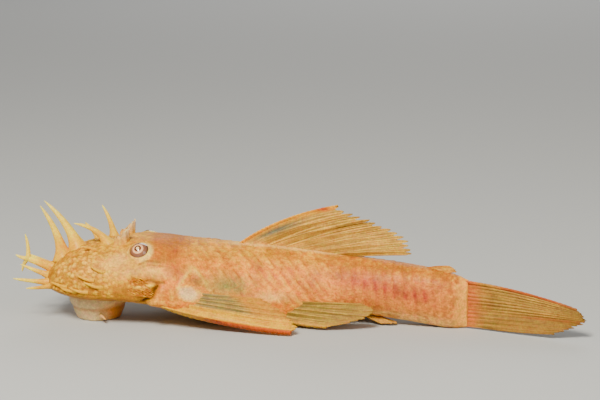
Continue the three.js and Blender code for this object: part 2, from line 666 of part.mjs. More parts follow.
const eyeLeft = ball(EYE_RADIUS, eyeCentre(), 16, 10);
const PIECES = {
  head: [head(), COLOURS.skin],
  sucker_mouth: [mouth(), COLOURS.lip],
  trunk: [trunkSolid().subtract(floor), COLOURS.plates],
  tail_stalk: [stalkSolid().subtract(floor), COLOURS.plates],
  eye_left: [eyeLeft, COLOURS.eye],
  eye_right: [mirrored(eyeLeft), COLOURS.eye],
  dorsal_fin: [fitted(fin(dorsalRays(), BUILD.dorsal)), COLOURS.fin],
  adipose_fin: [fitted(fin(ADIPOSE, BUILD.adipose)), COLOURS.fin],
  caudal_fin: [fitted(fin(caudalRays(), BUILD.caudal)), COLOURS.fin],
  anal_fin: [fitted(fin(ANAL, BUILD.anal)), COLOURS.fin],
  pectoral_fin_left: [pectoralLeft, COLOURS.fin],
  pectoral_fin_right: [mirrored(pectoralLeft), COLOURS.fin],
  pelvic_fin_left: [pelvicLeft, COLOURS.fin],
  pelvic_fin_right: [fitted(fin(otherSide(PELVIC), BUILD.pelvic)), COLOURS.fin],
};

function geometryOf(made) {
  const mesh = made.getMesh();
  const geometry = new THREE.BufferGeometry();
  geometry.setAttribute("position", new THREE.BufferAttribute(mesh.vertProperties, 3));
  geometry.setIndex(new THREE.BufferAttribute(mesh.triVerts, 1));
  geometry.computeVertexNormals();
  return geometry;
}

const pleco = new THREE.Group();
for (const [name, [made, finish]] of Object.entries(PIECES)) {
  const mesh = new THREE.Mesh(geometryOf(made), new THREE.MeshStandardMaterial({ ...finish, metalness: 0 }));
  mesh.name = name;
  pleco.add(mesh);
}

// The origin goes on the floor under the middle of the whole fish.
const bounds = new THREE.Box3().setFromObject(pleco);
const centre = bounds.getCenter(new THREE.Vector3());
pleco.position.set(-centre.x, -centre.y, 0);

export default pleco;
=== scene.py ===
import math

import bpy
import numpy as np
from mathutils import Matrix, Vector, noise


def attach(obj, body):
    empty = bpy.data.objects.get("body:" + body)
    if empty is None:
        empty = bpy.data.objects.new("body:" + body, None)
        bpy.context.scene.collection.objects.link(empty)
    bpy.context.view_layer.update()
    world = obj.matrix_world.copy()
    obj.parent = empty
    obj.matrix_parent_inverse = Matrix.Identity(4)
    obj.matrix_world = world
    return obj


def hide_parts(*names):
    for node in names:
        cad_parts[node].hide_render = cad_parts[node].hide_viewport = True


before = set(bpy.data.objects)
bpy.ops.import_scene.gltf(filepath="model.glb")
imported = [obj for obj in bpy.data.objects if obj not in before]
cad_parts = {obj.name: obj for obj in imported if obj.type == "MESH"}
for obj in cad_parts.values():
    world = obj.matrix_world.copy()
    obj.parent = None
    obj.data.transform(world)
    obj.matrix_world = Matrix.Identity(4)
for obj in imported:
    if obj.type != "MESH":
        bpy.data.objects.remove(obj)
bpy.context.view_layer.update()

# The view. The fish is seen from its left, a little from above, from under half a metre away through a long
# lens. The camera stands where the snout, the tail root and the floor line fall as they do in the picture.
MM = 0.001
SNOUT = np.array([-58.748, 0.0, 0.0])  # floor point under the snout tip, millimetres
CAMERA_FROM_SNOUT = np.array([82.3, -436.9, 101.8])
CAMERA_TURN = math.radians(-3.0)
CAMERA_TILT = math.radians(9.6)
VIEW_WIDTH = math.radians(17.7)

camera_data = bpy.data.cameras.new("view")
camera_data.angle = VIEW_WIDTH
camera_data.clip_start = 0.01
camera = bpy.data.objects.new("view", camera_data)
bpy.context.collection.objects.link(camera)
camera.location = Vector((SNOUT + CAMERA_FROM_SNOUT) * MM)
looking = Vector((
    math.sin(CAMERA_TURN) * math.cos(CAMERA_TILT),
    math.cos(CAMERA_TURN) * math.cos(CAMERA_TILT),
    -math.sin(CAMERA_TILT),
))
camera.rotation_euler = looking.to_track_quat("-Z", "Y").to_euler()
bpy.context.scene.camera = camera


# The skin. One moist hide covers the head, the trunk and the tail stalk: bare and pebbled on the snout, smooth on
# the belly, and clad in rows of thin bony plates on the back and flanks. It is a closed tube drawn along the bent
# midline, with each plate's rear edge standing over the next plate.
LENGTH = 98.7  # snout tip to tail fin root
BEND_START = 45.0
BEND = math.radians(18)
BEND_RADIUS = (LENGTH - BEND_START) / BEND
NOSE_LENGTH = 14.0
NOSE_HEIGHT = 8.6
NOSE_POWER = 2.3
# along, half width, top, bottom, height of the widest line, roundness above, roundness below
BODY = np.array([
    [0, 9.6, 14.8, 5.9, 8.6, 2.2, 2.6],
    [6, 11.6, 17.0, 5.5, 8.4, 2.2, 3.0],
    [14, 12.9, 18.5, 5.3, 8.2, 2.25, 3.2],
    [22, 13.5, 19.4, 5.0, 8.1, 2.3, 3.2],
    [27, 14.1, 19.4, 4.2, 7.8, 2.2, 3.0],
    [33, 14.5, 18.8, 2.2, 7.0, 2.0, 2.8],
    [40, 13.6, 18.2, 0.4, 6.2, 1.9, 2.8],
    [47, 12.0, 17.6, -0.3, 5.8, 1.85, 2.8],
    [56, 10.2, 16.9, -0.2, 5.7, 1.9, 2.7],
    [65, 8.4, 15.9, 1.2, 6.4, 1.95, 2.4],
    [73, 7.0, 15.1, 2.1, 7.2, 2.0, 2.2],
    [82, 5.7, 14.3, 1.25, 7.3, 2.1, 2.2],
    [90, 4.7, 13.3, 0.4, 6.9, 2.3, 2.3],
    [95.5, 3.7, 12.2, -0.05, 6.3, 2.3, 2.3],
    [98.9, 1.1, 11.2, 0.3, 5.9, 2.2, 2.2],
])
PLATE_START = 29.0
PLATES = 27
FRONT_PITCH = 3.0
REAR_PITCH = 2.1
PLATE_ROWS = 5
PLATE_RISE = 0.14
RING_STEPS = (0.02, 0.15, 0.3, 0.46, 0.62, 0.76, 0.88, 0.96)
RING_RISES = (0.0, 0.14, 0.34, 0.56, 0.78, 0.95, 1.0, 0.6)
SEGMENTS = 280
ARMOUR_SEGMENTS = 100  # of the 140 on each side


def smooth(low, high, x):
    t = np.clip((x - low) / (high - low), 0.0, 1.0)
    return t * t * (3 - 2 * t)


def place(along, out, height):
    """A point from its distance behind the snout, its distance out to the fish's left, and its height."""
    along, out, height = np.broadcast_arrays(along, out, height)
    heading = np.maximum(along - BEND_START, 0) / (LENGTH - BEND_START) * BEND
    x = np.minimum(along, BEND_START) + BEND_RADIUS * np.sin(heading)
    y = -BEND_RADIUS * (1 - np.cos(heading))
    return np.stack([x - np.sin(heading) * out, y - np.cos(heading) * out, height], -1) + SNOUT


def body_at(along):
    """The body's sizes on a smooth curve through the table, with the snout rounded off."""
    marks = BODY[:, 0]
    last = len(marks) - 1
    slopes = np.array([
        (BODY[min(j + 1, last), 1:] - BODY[max(j - 1, 0), 1:]) / (marks[min(j + 1, last)] - marks[max(j - 1, 0)])
        for j in range(last + 1)
    ])
    s = np.clip(along, 0, marks[-1])
    i = np.clip(np.searchsorted(marks, s, side="right") - 1, 0, last - 1)
    span = (marks[i + 1] - marks[i])[..., None]
    t = (s - marks[i])[..., None] / span
    a, b, ma, mb = BODY[i, 1:], BODY[i + 1, 1:], slopes[i] * span, slopes[i + 1] * span
    sizes = a + t * (ma + t * (3 * (b - a) - 2 * ma - mb + t * (2 * (a - b) + ma + mb)))
    to_nose = 1 - np.minimum(s, NOSE_LENGTH) / NOSE_LENGTH
    rounding = (1 - to_nose ** NOSE_POWER) ** (1 / NOSE_POWER)
    sizes[..., 0] *= rounding
    for column in (1, 2, 3):
        sizes[..., column] = NOSE_HEIGHT + (sizes[..., column] - NOSE_HEIGHT) * rounding
    return sizes


def outline(along, turn):
    """The smooth skin at an angle round the body, from the back's midline towards the left side."""
    along, turn = np.broadcast_arrays(np.asarray(along, float), np.asarray(turn, float))
    half, top, bottom, side, upper, lower = np.moveaxis(body_at(along), -1, 0)
    sin, cos = np.sin(turn), np.cos(turn)
    power = np.where(cos >= 0, upper, lower)
    reach = (np.abs(sin) ** power + np.abs(cos) ** power) ** (-1 / power)
    tall = np.where(cos >= 0, top - side, side - bottom)
    return place(along, half * reach * sin, side + tall * reach * cos)


def outward(along, turn):
    s = np.clip(along, 0.3, BODY[-1, 0] - 0.1)
    round_way = outline(s, turn + 0.02) - outline(s, turn - 0.02)
    back_way = outline(s + 0.1, turn) - outline(s - 0.1, turn)
    normal = np.cross(round_way, back_way)
    return normal / np.linalg.norm(normal, axis=-1, keepdims=True)


def skin_point(along, turn, lift=0.0):
    return outline(along, turn) + outward(along, turn) * lift


def armour_edge(along):
    return 2.15 + 0.65 * smooth(52, 74, along)


def plate_front(plate):
    return PLATE_START + plate * FRONT_PITCH - plate ** 2 * (FRONT_PITCH - REAR_PITCH) / (2 * PLATES)


def slant(along, side):
    """How far back a plate's edge lies at an angle: the edges slant back and down on the trunk."""
    on_trunk = smooth(30, 44, along) * (1 - smooth(58, 76, along))
    on_stalk = smooth(58, 76, along) * (1 - smooth(90, 96, along))
    return (3.2 * on_trunk + 0.9 * on_stalk) * (np.minimum(side, 2.2) - 1.1)


EYE_ALONG, EYE_TURN, EYE_RADIUS, EYE_SINK = 23.2, 0.7, 2.7, 1.35


def eye_frame(side):
    """Middle of an eyeball and the way it looks, for the left (1) or the right (-1) side."""
    axis = outward(EYE_ALONG, EYE_TURN) + np.array([-0.1, -0.22, -0.1])
    axis /= np.linalg.norm(axis)
    centre = outline(EYE_ALONG, EYE_TURN) - axis * EYE_SINK
    mirror = np.array([1, side, 1])
    return (centre - SNOUT) * mirror + SNOUT, axis * mirror


def spot(along, side, at_along, at_side, reach_along, reach_side):
    return np.exp(-(((along - at_along) / reach_along) ** 2) - ((side - at_side) / reach_side) ** 2)


def near_line(along, side, points, width):
    """1 on a line of [along, angle] points over one side of the body, falling off over a width in millimetres."""
    round_size = 13.0
    best = np.full(along.shape, 1e9)
    for (s0, a0), (s1, a1) in zip(points, points[1:]):
        line = np.array([s1 - s0, (a1 - a0) * round_size])
        px, py = along - s0, (side - a0) * round_size
        t = np.clip((px * line[0] + py * line[1]) / (line @ line), 0, 1)
        best = np.minimum(best, np.hypot(px - t * line[0], py - t * line[1]))
    return np.exp(-((best / width) ** 2))


# The rings run from the snout tip to the tail fin root, closest on the snout and at each plate's rear edge.
nose_rings = [NOSE_LENGTH * (1 - math.cos(k * math.pi / 128)) for k in range(1, 65)]
head_rings = list(np.linspace(NOSE_LENGTH, PLATE_START, 50)[1:-1])
plate_rings = [
    plate_front(p) + u * (plate_front(p + 1) - plate_front(p)) for p in range(PLATES) for u in RING_STEPS
]
end_rings = [98.05, 98.3, 98.55, 98.75, 98.88]
rings = np.array(nose_rings + head_rings + plate_rings + end_rings)
ring_rises = np.array(
    [0.0] * (len(nose_rings) + len(head_rings)) + list(RING_RISES) * PLATES + [0.0] * len(end_rings)
)
ring_fractions = np.array(
    [0.5] * (len(nose_rings) + len(head_rings)) + list(RING_STEPS) * PLATES + [0.5] * len(end_rings)
)

bpy.ops.object.select_all(action="DESELECT")
bpy.ops.mesh.primitive_uv_sphere_add(segments=SEGMENTS, ring_count=len(rings) + 1, radius=1)
skin = bpy.context.object
skin.name = "skin"
count = len(skin.data.vertices)
ball = np.empty(count * 3)
skin.data.vertices.foreach_get("co", ball)
ball = ball.reshape(-1, 3)
ring_number = np.rint(np.arccos(np.clip(ball[:, 2], -1, 1)) / math.pi * (len(rings) + 1)).astype(int)
segment = np.rint(np.arctan2(ball[:, 1], ball[:, 0]) / (2 * math.pi) * SEGMENTS).astype(int) % SEGMENTS
left = segment <= SEGMENTS // 2
step = np.where(left, segment, SEGMENTS - segment)
at_pole = (ring_number == 0) | (ring_number == len(rings) + 1)
ring_at = np.clip(ring_number - 1, 0, len(rings) - 1)
column = rings[ring_at]
half_count = SEGMENTS // 2
armoured = smooth(PLATE_START - 1.5, PLATE_START + 2.5, column) * (1 - smooth(96.5, 98.2, column))
edge = armour_edge(column)
plate_turn = np.where(
    step <= ARMOUR_SEGMENTS,
    edge * step / ARMOUR_SEGMENTS,
    edge + (math.pi - edge) * (step - ARMOUR_SEGMENTS) / (half_count - ARMOUR_SEGMENTS),
)
even_turn = math.pi * step / half_count
side = even_turn + (plate_turn - even_turn) * smooth(PLATE_START - 3, PLATE_START + 1, column)
turn = np.where(left, side, -side)
clad = armoured * (1 - smooth(ARMOUR_SEGMENTS - 6, ARMOUR_SEGMENTS, step))
across = np.where(step < ARMOUR_SEGMENTS, step * PLATE_ROWS / ARMOUR_SEGMENTS, 0.0)
row = np.floor(across)
in_row = across - row
tooth = np.where(in_row < 0.88, in_row / 0.88 - 0.5, 0.5 - (in_row - 0.88) / 0.12)
oblique = 1.8 * smooth(30, 40, column) * (1 - smooth(62, 78, column)) * (row > 0) * (row < 5)
along = column + slant(column, side) * armoured + oblique * tooth * clad
along = np.where(column > 90, column + (along - column) * (1 - smooth(95, 98, column)), along)
along = np.clip(along, rings[0], 98.88)

fraction = ring_fractions[ring_at]
rise = ring_rises[ring_at]
crest = np.sin(math.pi * np.clip(in_row / 0.88, 0, 1)) ** 0.8
keel = (0.12 + 0.88 * crest) * (1 - 0.35 * smooth(60, 76, column))
position = outline(along, turn)
normal = outward(along, turn)
uneven = np.array([noise.fractal(Vector(p * 0.16), 1.0, 2.0, 3) for p in position])
lift = PLATE_RISE * clad * rise * keel * np.clip(0.9 + 1.1 * uneven, 0.35, 1.4)
lift += 0.03 * clad * np.exp(-(((in_row - 0.45) / 0.18) ** 2)) * (0.4 + 0.6 * rise) * (row > 0)

# The head's relief: brows, hollows, cheeks, the gill cover with its slit and fold, and the shoulder behind it
GILL_SLIT = [(24.3, 2.1), (25.2, 1.86), (26.2, 1.64), (27.2, 1.44), (27.8, 1.36)]
GILL_FOLD = [(26.3, 2.1), (27.2, 1.86), (28.2, 1.62), (29.0, 1.44)]
COVER_CREASE = [(22.6, 1.29), (24.4, 1.31), (26.2, 1.27), (28.0, 1.3), (29.4, 1.27)]
COVER_FLAP = [(22.8, 1.44), (24.6, 1.42), (26.0, 1.38), (27.0, 1.36)]
SHOULDER_RIDGE = [(36.2, 0.96), (37.4, 1.06), (39.9, 1.33)]
SHOULDER_ARCH = [(35.1, 0.98), (33.9, 1.14), (32.6, 1.34)]
lift += 0.15 * spot(along, side, EYE_ALONG - 0.2, EYE_TURN - 0.26, 3.2, 0.2)
lift -= 0.4 * spot(along, side, 16.2, EYE_TURN + 0.1, 3.0, 0.25)
lift += 0.5 * spot(along, side, 19.5, 1.4, 4.0, 0.3)
lift += 0.35 * spot(along, side, 4.5, 1.75, 5.0, 0.25)
lift += 0.3 * spot(along, side, 27.0, 1.08, 2.4, 0.16)
lift += 0.7 * spot(along, side, 27.9, 1.98, 1.3, 0.22)
lift -= 1.0 * near_line(along, side, GILL_SLIT, 0.45)
lift += 0.45 * near_line(along, side, GILL_FOLD, 0.8)
lift -= 0.5 * near_line(along, side, COVER_CREASE, 0.4)
lift += 0.35 * near_line(along, side, COVER_FLAP, 0.55)
lift += 0.3 * near_line(along, side, SHOULDER_RIDGE, 0.5)
lift += 0.2 * near_line(along, side, SHOULDER_ARCH, 0.5)
lift -= 0.25 * spot(along, side, 35.0, 1.42, 2.4, 0.13)
lift += 0.12 * near_line(along, side, [(24.6, 0.9), (26.2, 0.9), (28.2, 0.88)], 0.25)

# Eye sockets: the skin dips under the ball and stands up round it as a thick lid.
for which in (1, -1):
    centre, axis = eye_frame(which)
    offset = position - centre
    from_axis = np.linalg.norm(np.cross(offset, axis), axis=-1)
    facing = (offset @ axis) > 0
    lift = np.where(facing, lift * (1 - np.exp(-((from_axis / 2.4) ** 4))), lift)
    lift += facing * 0.6 * np.exp(-(((from_axis - 2.3) / 0.36) ** 2))
    lift -= facing * 1.3 * (1 - smooth(1.4, 2.0, from_axis))

# Pebbled snout: round bumps about a millimetre wide, smaller towards the eyes, fading out on the cheeks.
pebbled = (1 - smooth(16, 21, along)) * (1 - smooth(1.75, 2.1, side)) * smooth(0.5, 4.5, along)
pebbled *= 1 - 0.75 * spot(along, side, 16.5, 0.92, 3.6, 0.22)
pebbled = np.maximum(pebbled, 0.8 * spot(along, side, 22.5, 1.42, 3.2, 0.2))
pebbled = np.maximum(pebbled, 0.35 * spot(along, side, 26.5, 1.1, 3.5, 0.2))
gaps = np.ones(count)
domes = np.zeros(count)
blotch = np.zeros(count)
fleck = np.zeros(count)
streak = np.zeros(count)
seam = np.zeros(count)
for n in range(count):
    p = Vector(position[n])
    blotch[n] = noise.fractal(p * 0.28, 1.0, 2.0, 4)
    fleck[n] = noise.fractal(p * 1.1, 1.0, 2.0, 3)
    seam[n] = noise.noise(p * 0.3 + Vector((40.0, 0.0, 0.0)))
    streak[n] = noise.fractal(Vector((column[n] * 1.15, turn[n] * 1.8, 7.0)), 1.0, 2.0, 3)
    if pebbled[n] > 0.01:
        bent = p * 0.86 + noise.noise_vector(p * 0.5) * 0.35
        near = noise.voronoi(bent)[0]
        gaps[n] = min(1.0, (near[1] - near[0]) * 1.7)
        domes[n] = max(0.0, 1 - (near[0] / 0.66) ** 2)
lift += pebbled * (0.2 * np.sqrt(gaps) + 0.15 * domes - 0.22)
lift += 0.06 * blotch + 0.05 * fleck * clad

position = position + normal * lift[:, None]
position[at_pole & (ring_number == 0)] = SNOUT + np.array([0.0, 0.0, NOSE_HEIGHT])
position[at_pole & (ring_number > 0)] = place(98.9, 0, 5.9)
position[:, 2] = np.maximum(position[:, 2], 0.0)
skin.data.vertices.foreach_set("co", (position * MM).ravel())
skin.data.update()
bpy.ops.object.mode_set(mode="EDIT")
bpy.ops.mesh.select_all(action="SELECT")
bpy.ops.mesh.normals_make_consistent(inside=False)
bpy.ops.object.mode_set(mode="OBJECT")
bpy.ops.object.shade_smooth()


def paint(colours, mask, colour):
    """Lays a colour over the ones that are there, as strongly as the mask says."""
    mask = np.clip(mask, 0, 1)[..., None]
    return colours + (np.asarray(colour) - colours) * mask


# Colours are linear red, green and blue.
GOLD = (0.63, 0.3, 0.004)
BACK_GOLD = (0.68, 0.28, 0.006)
PEACH = (0.86, 0.23, 0.01)
PINK = (0.66, 0.15, 0.028)
SALMON = (0.58, 0.16, 0.018)
ROSE = (0.4, 0.045, 0.022)
CREAM = (0.92, 0.53, 0.06)
PEARL = (0.88, 0.62, 0.32)
ORANGE = (0.47, 0.13, 0.002)
RUST = (0.3, 0.1, 0.004)
BROWN = (0.15, 0.05, 0.006)
OLIVE = (0.33, 0.25, 0.065)
BELLY = (0.82, 0.42, 0.12)

tint = np.tile(PEACH, (count, 1))
tint = paint(tint, 1 - smooth(0.4, 1.0, side), BACK_GOLD)
tint = paint(tint, 0.9 * smooth(58, 74, along) * smooth(0.3, 0.9, side), (0.62, 0.17, 0.035))
tint = paint(tint, 0.9 * smooth(58, 74, along) * (1 - smooth(0.5, 1.0, side)), (0.47, 0.14, 0.006))
tint = paint(tint, 1 - smooth(24, 31, along), GOLD)
tint = paint(tint, smooth(1.9, 2.5, side), BELLY)
on_stalk = smooth(60, 74, along)
tint = paint(tint, 0.5 * smooth(0.0, 0.5, blotch) * (side < 2.2) * (1 - 0.8 * on_stalk), (0.88, 0.36, 0.03))
tint = paint(tint, 0.45 * smooth(0.0, 0.5, -blotch) * (side < 2.2), SALMON)
tint = paint(tint, (0.4 - 0.22 * on_stalk) * smooth(0.05, 0.5, fleck), CREAM)
tint = paint(tint, 0.35 * smooth(0.05, 0.5, -fleck), RUST)
tint = paint(tint, 0.3 * on_stalk * smooth(0.05, 0.5, -fleck), (0.5, 0.15, 0.025))
# Pink and cream streaks slanting back and down over the flank, crimson along the middle of the tail stalk
on_flank = smooth(40, 50, along) * smooth(0.6, 0.9, side) * (1 - smooth(1.5, 1.8, side)) * (1 - smooth(66, 76, along))
slanted = np.cos((along - 8.5 * side) * 2 * math.pi / 2.2 + 1.5 * blotch)
patches = smooth(-0.35, 0.3, streak)
tint = paint(tint, 0.8 * on_flank * smooth(0.1, 0.95, slanted) * patches, PINK)
tint = paint(tint, 0.6 * on_flank * smooth(0.1, 0.95, -slanted) * (1 - 0.7 * patches), (0.95, 0.4, 0.05))
tint = paint(tint, 0.35 * on_flank * smooth(0.0, 0.3, fleck - blotch), (0.8, 0.26, 0.05))
# Salmon at the seams between the plates: partly the skin's own pinker tone, partly painted shade in the grooves
# between them.
seam_tone_and_shade = clad * (np.exp(-((fraction / 0.22) ** 2)) + np.exp(-(((1 - fraction) / 0.1) ** 2))) * (0.15 + 0.85 * crest)
tint = paint(tint, (0.42 - 0.2 * on_stalk) * seam_tone_and_shade * (0.4 + smooth(-0.3, 0.3, streak)), SALMON)
# Painted highlight: a pale cream band over the raised rear part of each plate's crest.
tint = paint(tint, 0.25 * clad * np.exp(-(((fraction - 0.72) / 0.2) ** 2)) * crest * (1 - 0.5 * on_stalk), CREAM)
band = 1.0 + 0.42 * smooth(68, 88, along)
red = np.exp(-(((side - band - 0.08 * streak) / 0.25) ** 2)) * smooth(64, 77, along) * (1 - smooth(90, 94.5, along))
tint = paint(tint, 0.85 * red * (0.8 + 0.5 * fleck), (0.52, 0.1, 0.028))
tint = paint(tint, 1.0 * red * np.exp(-(((fraction - 0.2) / 0.27) ** 2)) * smooth(-0.5, 0.1, streak), ROSE)
tint = paint(tint, 0.5 * spot(along, side, 51, 0.86, 1.2, 0.07), ROSE)
tint = paint(tint, 0.85 * smooth(95.8, 97.2, along + 1.4 * fleck), (0.92, 0.4, 0.06))
back_line = (1 - smooth(0.1, 0.24, side + 0.06 * fleck)) * smooth(42, 45, along) * (1 - smooth(66, 71, along))
tint = paint(tint, 0.75 * back_line, (0.95, 0.6, 0.2))
# Painted highlight: a pale cream pool of light on the lower flank above the belly fin.
tint = paint(tint, 0.7 * spot(along, side, 53.5, 1.44, 4.2, 0.1), (0.95, 0.52, 0.15))
# The patch behind the eye, the bony shoulder, and the dark flank over the breast fin
patch = smooth(24.6, 26.6, along) * (1 - smooth(32.0, 35.5, along)) * (1 - smooth(0.95, 1.25, side))
tint = paint(tint, 0.9 * patch * (0.65 + 0.35 * smooth(0.1, 0.35, side)), (0.52, 0.145, 0.01))
tint = paint(tint, 0.4 * patch * smooth(0.0, 0.4, fleck), (0.66, 0.24, 0.02))
tint = paint(tint, 0.6 * patch * (1 - smooth(0.25, 0.6, side)), (0.4, 0.115, 0.004))
tint = paint(tint, 0.5 * spot(along, side, 31.0, 1.05, 1.6, 0.14), ROSE)
tint = paint(tint, 0.4 * spot(along, side, 31.4, 0.6, 1.2, 0.07), ROSE)
oval = ((along - 35.0) / 2.6) ** 2 + ((side - 1.42) / 0.13) ** 2 + 0.5 * blotch + 0.3 * fleck
tint = paint(tint, 0.8 * np.exp(-(((oval - 1.15) / 0.35) ** 2)), (0.95, 0.5, 0.07))
tint = paint(tint, 0.75 * (1 - smooth(0.4, 1.2, oval)), PEARL)
tint = paint(tint, 0.7 * spot(along, side, 35.3, 0.94, 1.1, 0.1), CREAM)
tint = paint(tint, 0.9 * near_line(along, side, SHOULDER_RIDGE, 0.45), CREAM)
tint = paint(tint, 0.8 * near_line(along, side, SHOULDER_ARCH, 0.35), (0.95, 0.58, 0.08))
tint = paint(tint, 0.95 * spot(along, side, 36.7, 1.19, 1.9, 0.11) * smooth(-0.45, 0.0, fleck), (0.32, 0.1, 0.015))
tint = paint(tint, (0.95 + 0.5 * streak) * spot(along, side, 44.0, 1.22, 4.8, 0.2), OLIVE)
# The head: seams between its bones, the pale cheek and gill cover, and the orange spine patch
seams = np.exp(-((seam / 0.035) ** 2)) * smooth(17, 20, along) * (1 - smooth(30, 33, along)) * (side < 1.25)
tint = paint(tint, 0.4 * seams, RUST)
tint = paint(tint, 0.85 * spot(along, side, 16.6, 0.95, 3.8, 0.22), (0.88, 0.45, 0.08))
tint = paint(tint, 0.6 * spot(along, side, 18.6, 0.84, 2.2, 0.16), (0.84, 0.46, 0.16))
tint = paint(tint, 0.8 * spot(along, side, 27.0, 1.08, 2.9, 0.17), (0.98, 0.48, 0.1))
tint = paint(tint, 0.85 * near_line(along, side, [(23.6, 0.98), (25.0, 0.91), (28.4, 0.9)], 0.3), (0.24, 0.08, 0.003))
tint = paint(tint, 0.5 * near_line(along, side, [(22.0, 1.22), (23.4, 1.06), (25.6, 0.99), (28.6, 0.97)], 0.3), RUST)
tint = paint(tint, 0.95 * spot(along, side, 22.9, 1.42, 3.0, 0.16), ORANGE)
tint = paint(tint, 0.85 * spot(along, side, 1.0, 1.2, 3.2, 0.6), (0.32, 0.115, 0.002))
tint = paint(tint, 0.85 * smooth(1.3, 1.6, side) * (1 - smooth(24, 28, along)), (0.38, 0.145, 0.003))
tint = paint(tint, 0.85 * near_line(along, side, COVER_FLAP, 0.4), (0.92, 0.56, 0.05))
# Painted shade: a dark line in the sunken crease across the gill cover.
tint = paint(tint, 0.9 * near_line(along, side, COVER_CREASE, 0.32), (0.22, 0.07, 0.003))
tint = paint(tint, 0.6 * near_line(along, side, GILL_FOLD, 0.7), (0.8, 0.33, 0.05))
# Painted shade: a near-black line in the sunken gill slit.
tint = paint(tint, 0.95 * near_line(along, side, GILL_SLIT, 0.45), (0.1, 0.03, 0.003))
for which in (1, -1):
    centre, axis = eye_frame(which)
    offset = position - centre
    from_axis = np.linalg.norm(np.cross(offset, axis), axis=-1)
    behind = smooth(-0.6, 0.7, offset[:, 0] / (from_axis + 0.1))
    on_lid = ((offset @ axis) > 0) * np.exp(-(((from_axis - 2.35 - 0.3 * behind) / (0.25 + 0.3 * behind)) ** 2))
    tint = paint(tint, on_lid * (0.35 + 0.6 * behind), (0.98, 0.68, 0.2))
    rim = ((offset @ axis) > 0) * (1 - smooth(2.0, 2.2, from_axis))
    tint = paint(tint, 0.9 * rim, (0.16, 0.06, 0.012))
# Each plate a little lighter or darker than its neighbours; on the snout's bumps, painted highlights on the crowns
# and painted shade in the gaps
plate_number = np.floor(np.clip(ring_at - len(nose_rings) - len(head_rings), 0, None) / len(RING_STEPS)).astype(int)
shades = np.random.default_rng(11).uniform(0.88, 1.1, (PLATES + 2, PLATE_ROWS + 1, 2))
shade = shades[np.clip(plate_number, 0, PLATES + 1), np.clip(row, 0, PLATE_ROWS).astype(int), left.astype(int)]
tint *= (1 + (shade - 1) * clad)[:, None]
# Painted highlights: pale yellow on the crowns of the snout's bumps.
tint = paint(tint, 0.55 * pebbled * smooth(0.25, 0.85, domes), (0.92, 0.52, 0.015))
tint = paint(tint, 0.6 * pebbled * domes * spot(along, side, 8.5, 1.0, 4.5, 0.35), (0.86, 0.5, 0.11))
# Painted shade: darker gold in the gaps between the snout's bumps.
tint = paint(tint, 0.75 * pebbled * (1 - smooth(0.0, 0.4, gaps)), (0.4, 0.155, 0.002))


def store_colour(piece, colours):
    layer = piece.data.color_attributes.new("Tint", "FLOAT_COLOR", "POINT")
    values = np.concatenate([colours, np.ones((len(colours), 1))], 1)
    layer.data.foreach_set("color", values.astype(np.float32).ravel())


def store_value(piece, name, values):
    layer = piece.data.attributes.new(name, "FLOAT", "POINT")
    layer.data.foreach_set("value", np.asarray(values, np.float32))


store_colour(skin, tint)
store_value(skin, "Grain", np.clip(0.7 * clad + 0.35 * pebbled + 0.2, 0, 1) * (1 - smooth(1.9, 2.4, side)))


def node(tree, kind, place_at, **settings):
    made = tree.nodes.new(kind)
    made.location = place_at
    for key, value in settings.items():
        if key in made.inputs:
            made.inputs[key].default_value = value
        else:
            setattr(made, key, value)
    return made


def ranged(tree, place_at, low, high, to_low, to_high):
    made = node(tree, "ShaderNodeMapRange", place_at)
    for key, value in zip(("From Min", "From Max", "To Min", "To Max"), (low, high, to_low, to_high)):
        made.inputs[key].default_value = value
    return made


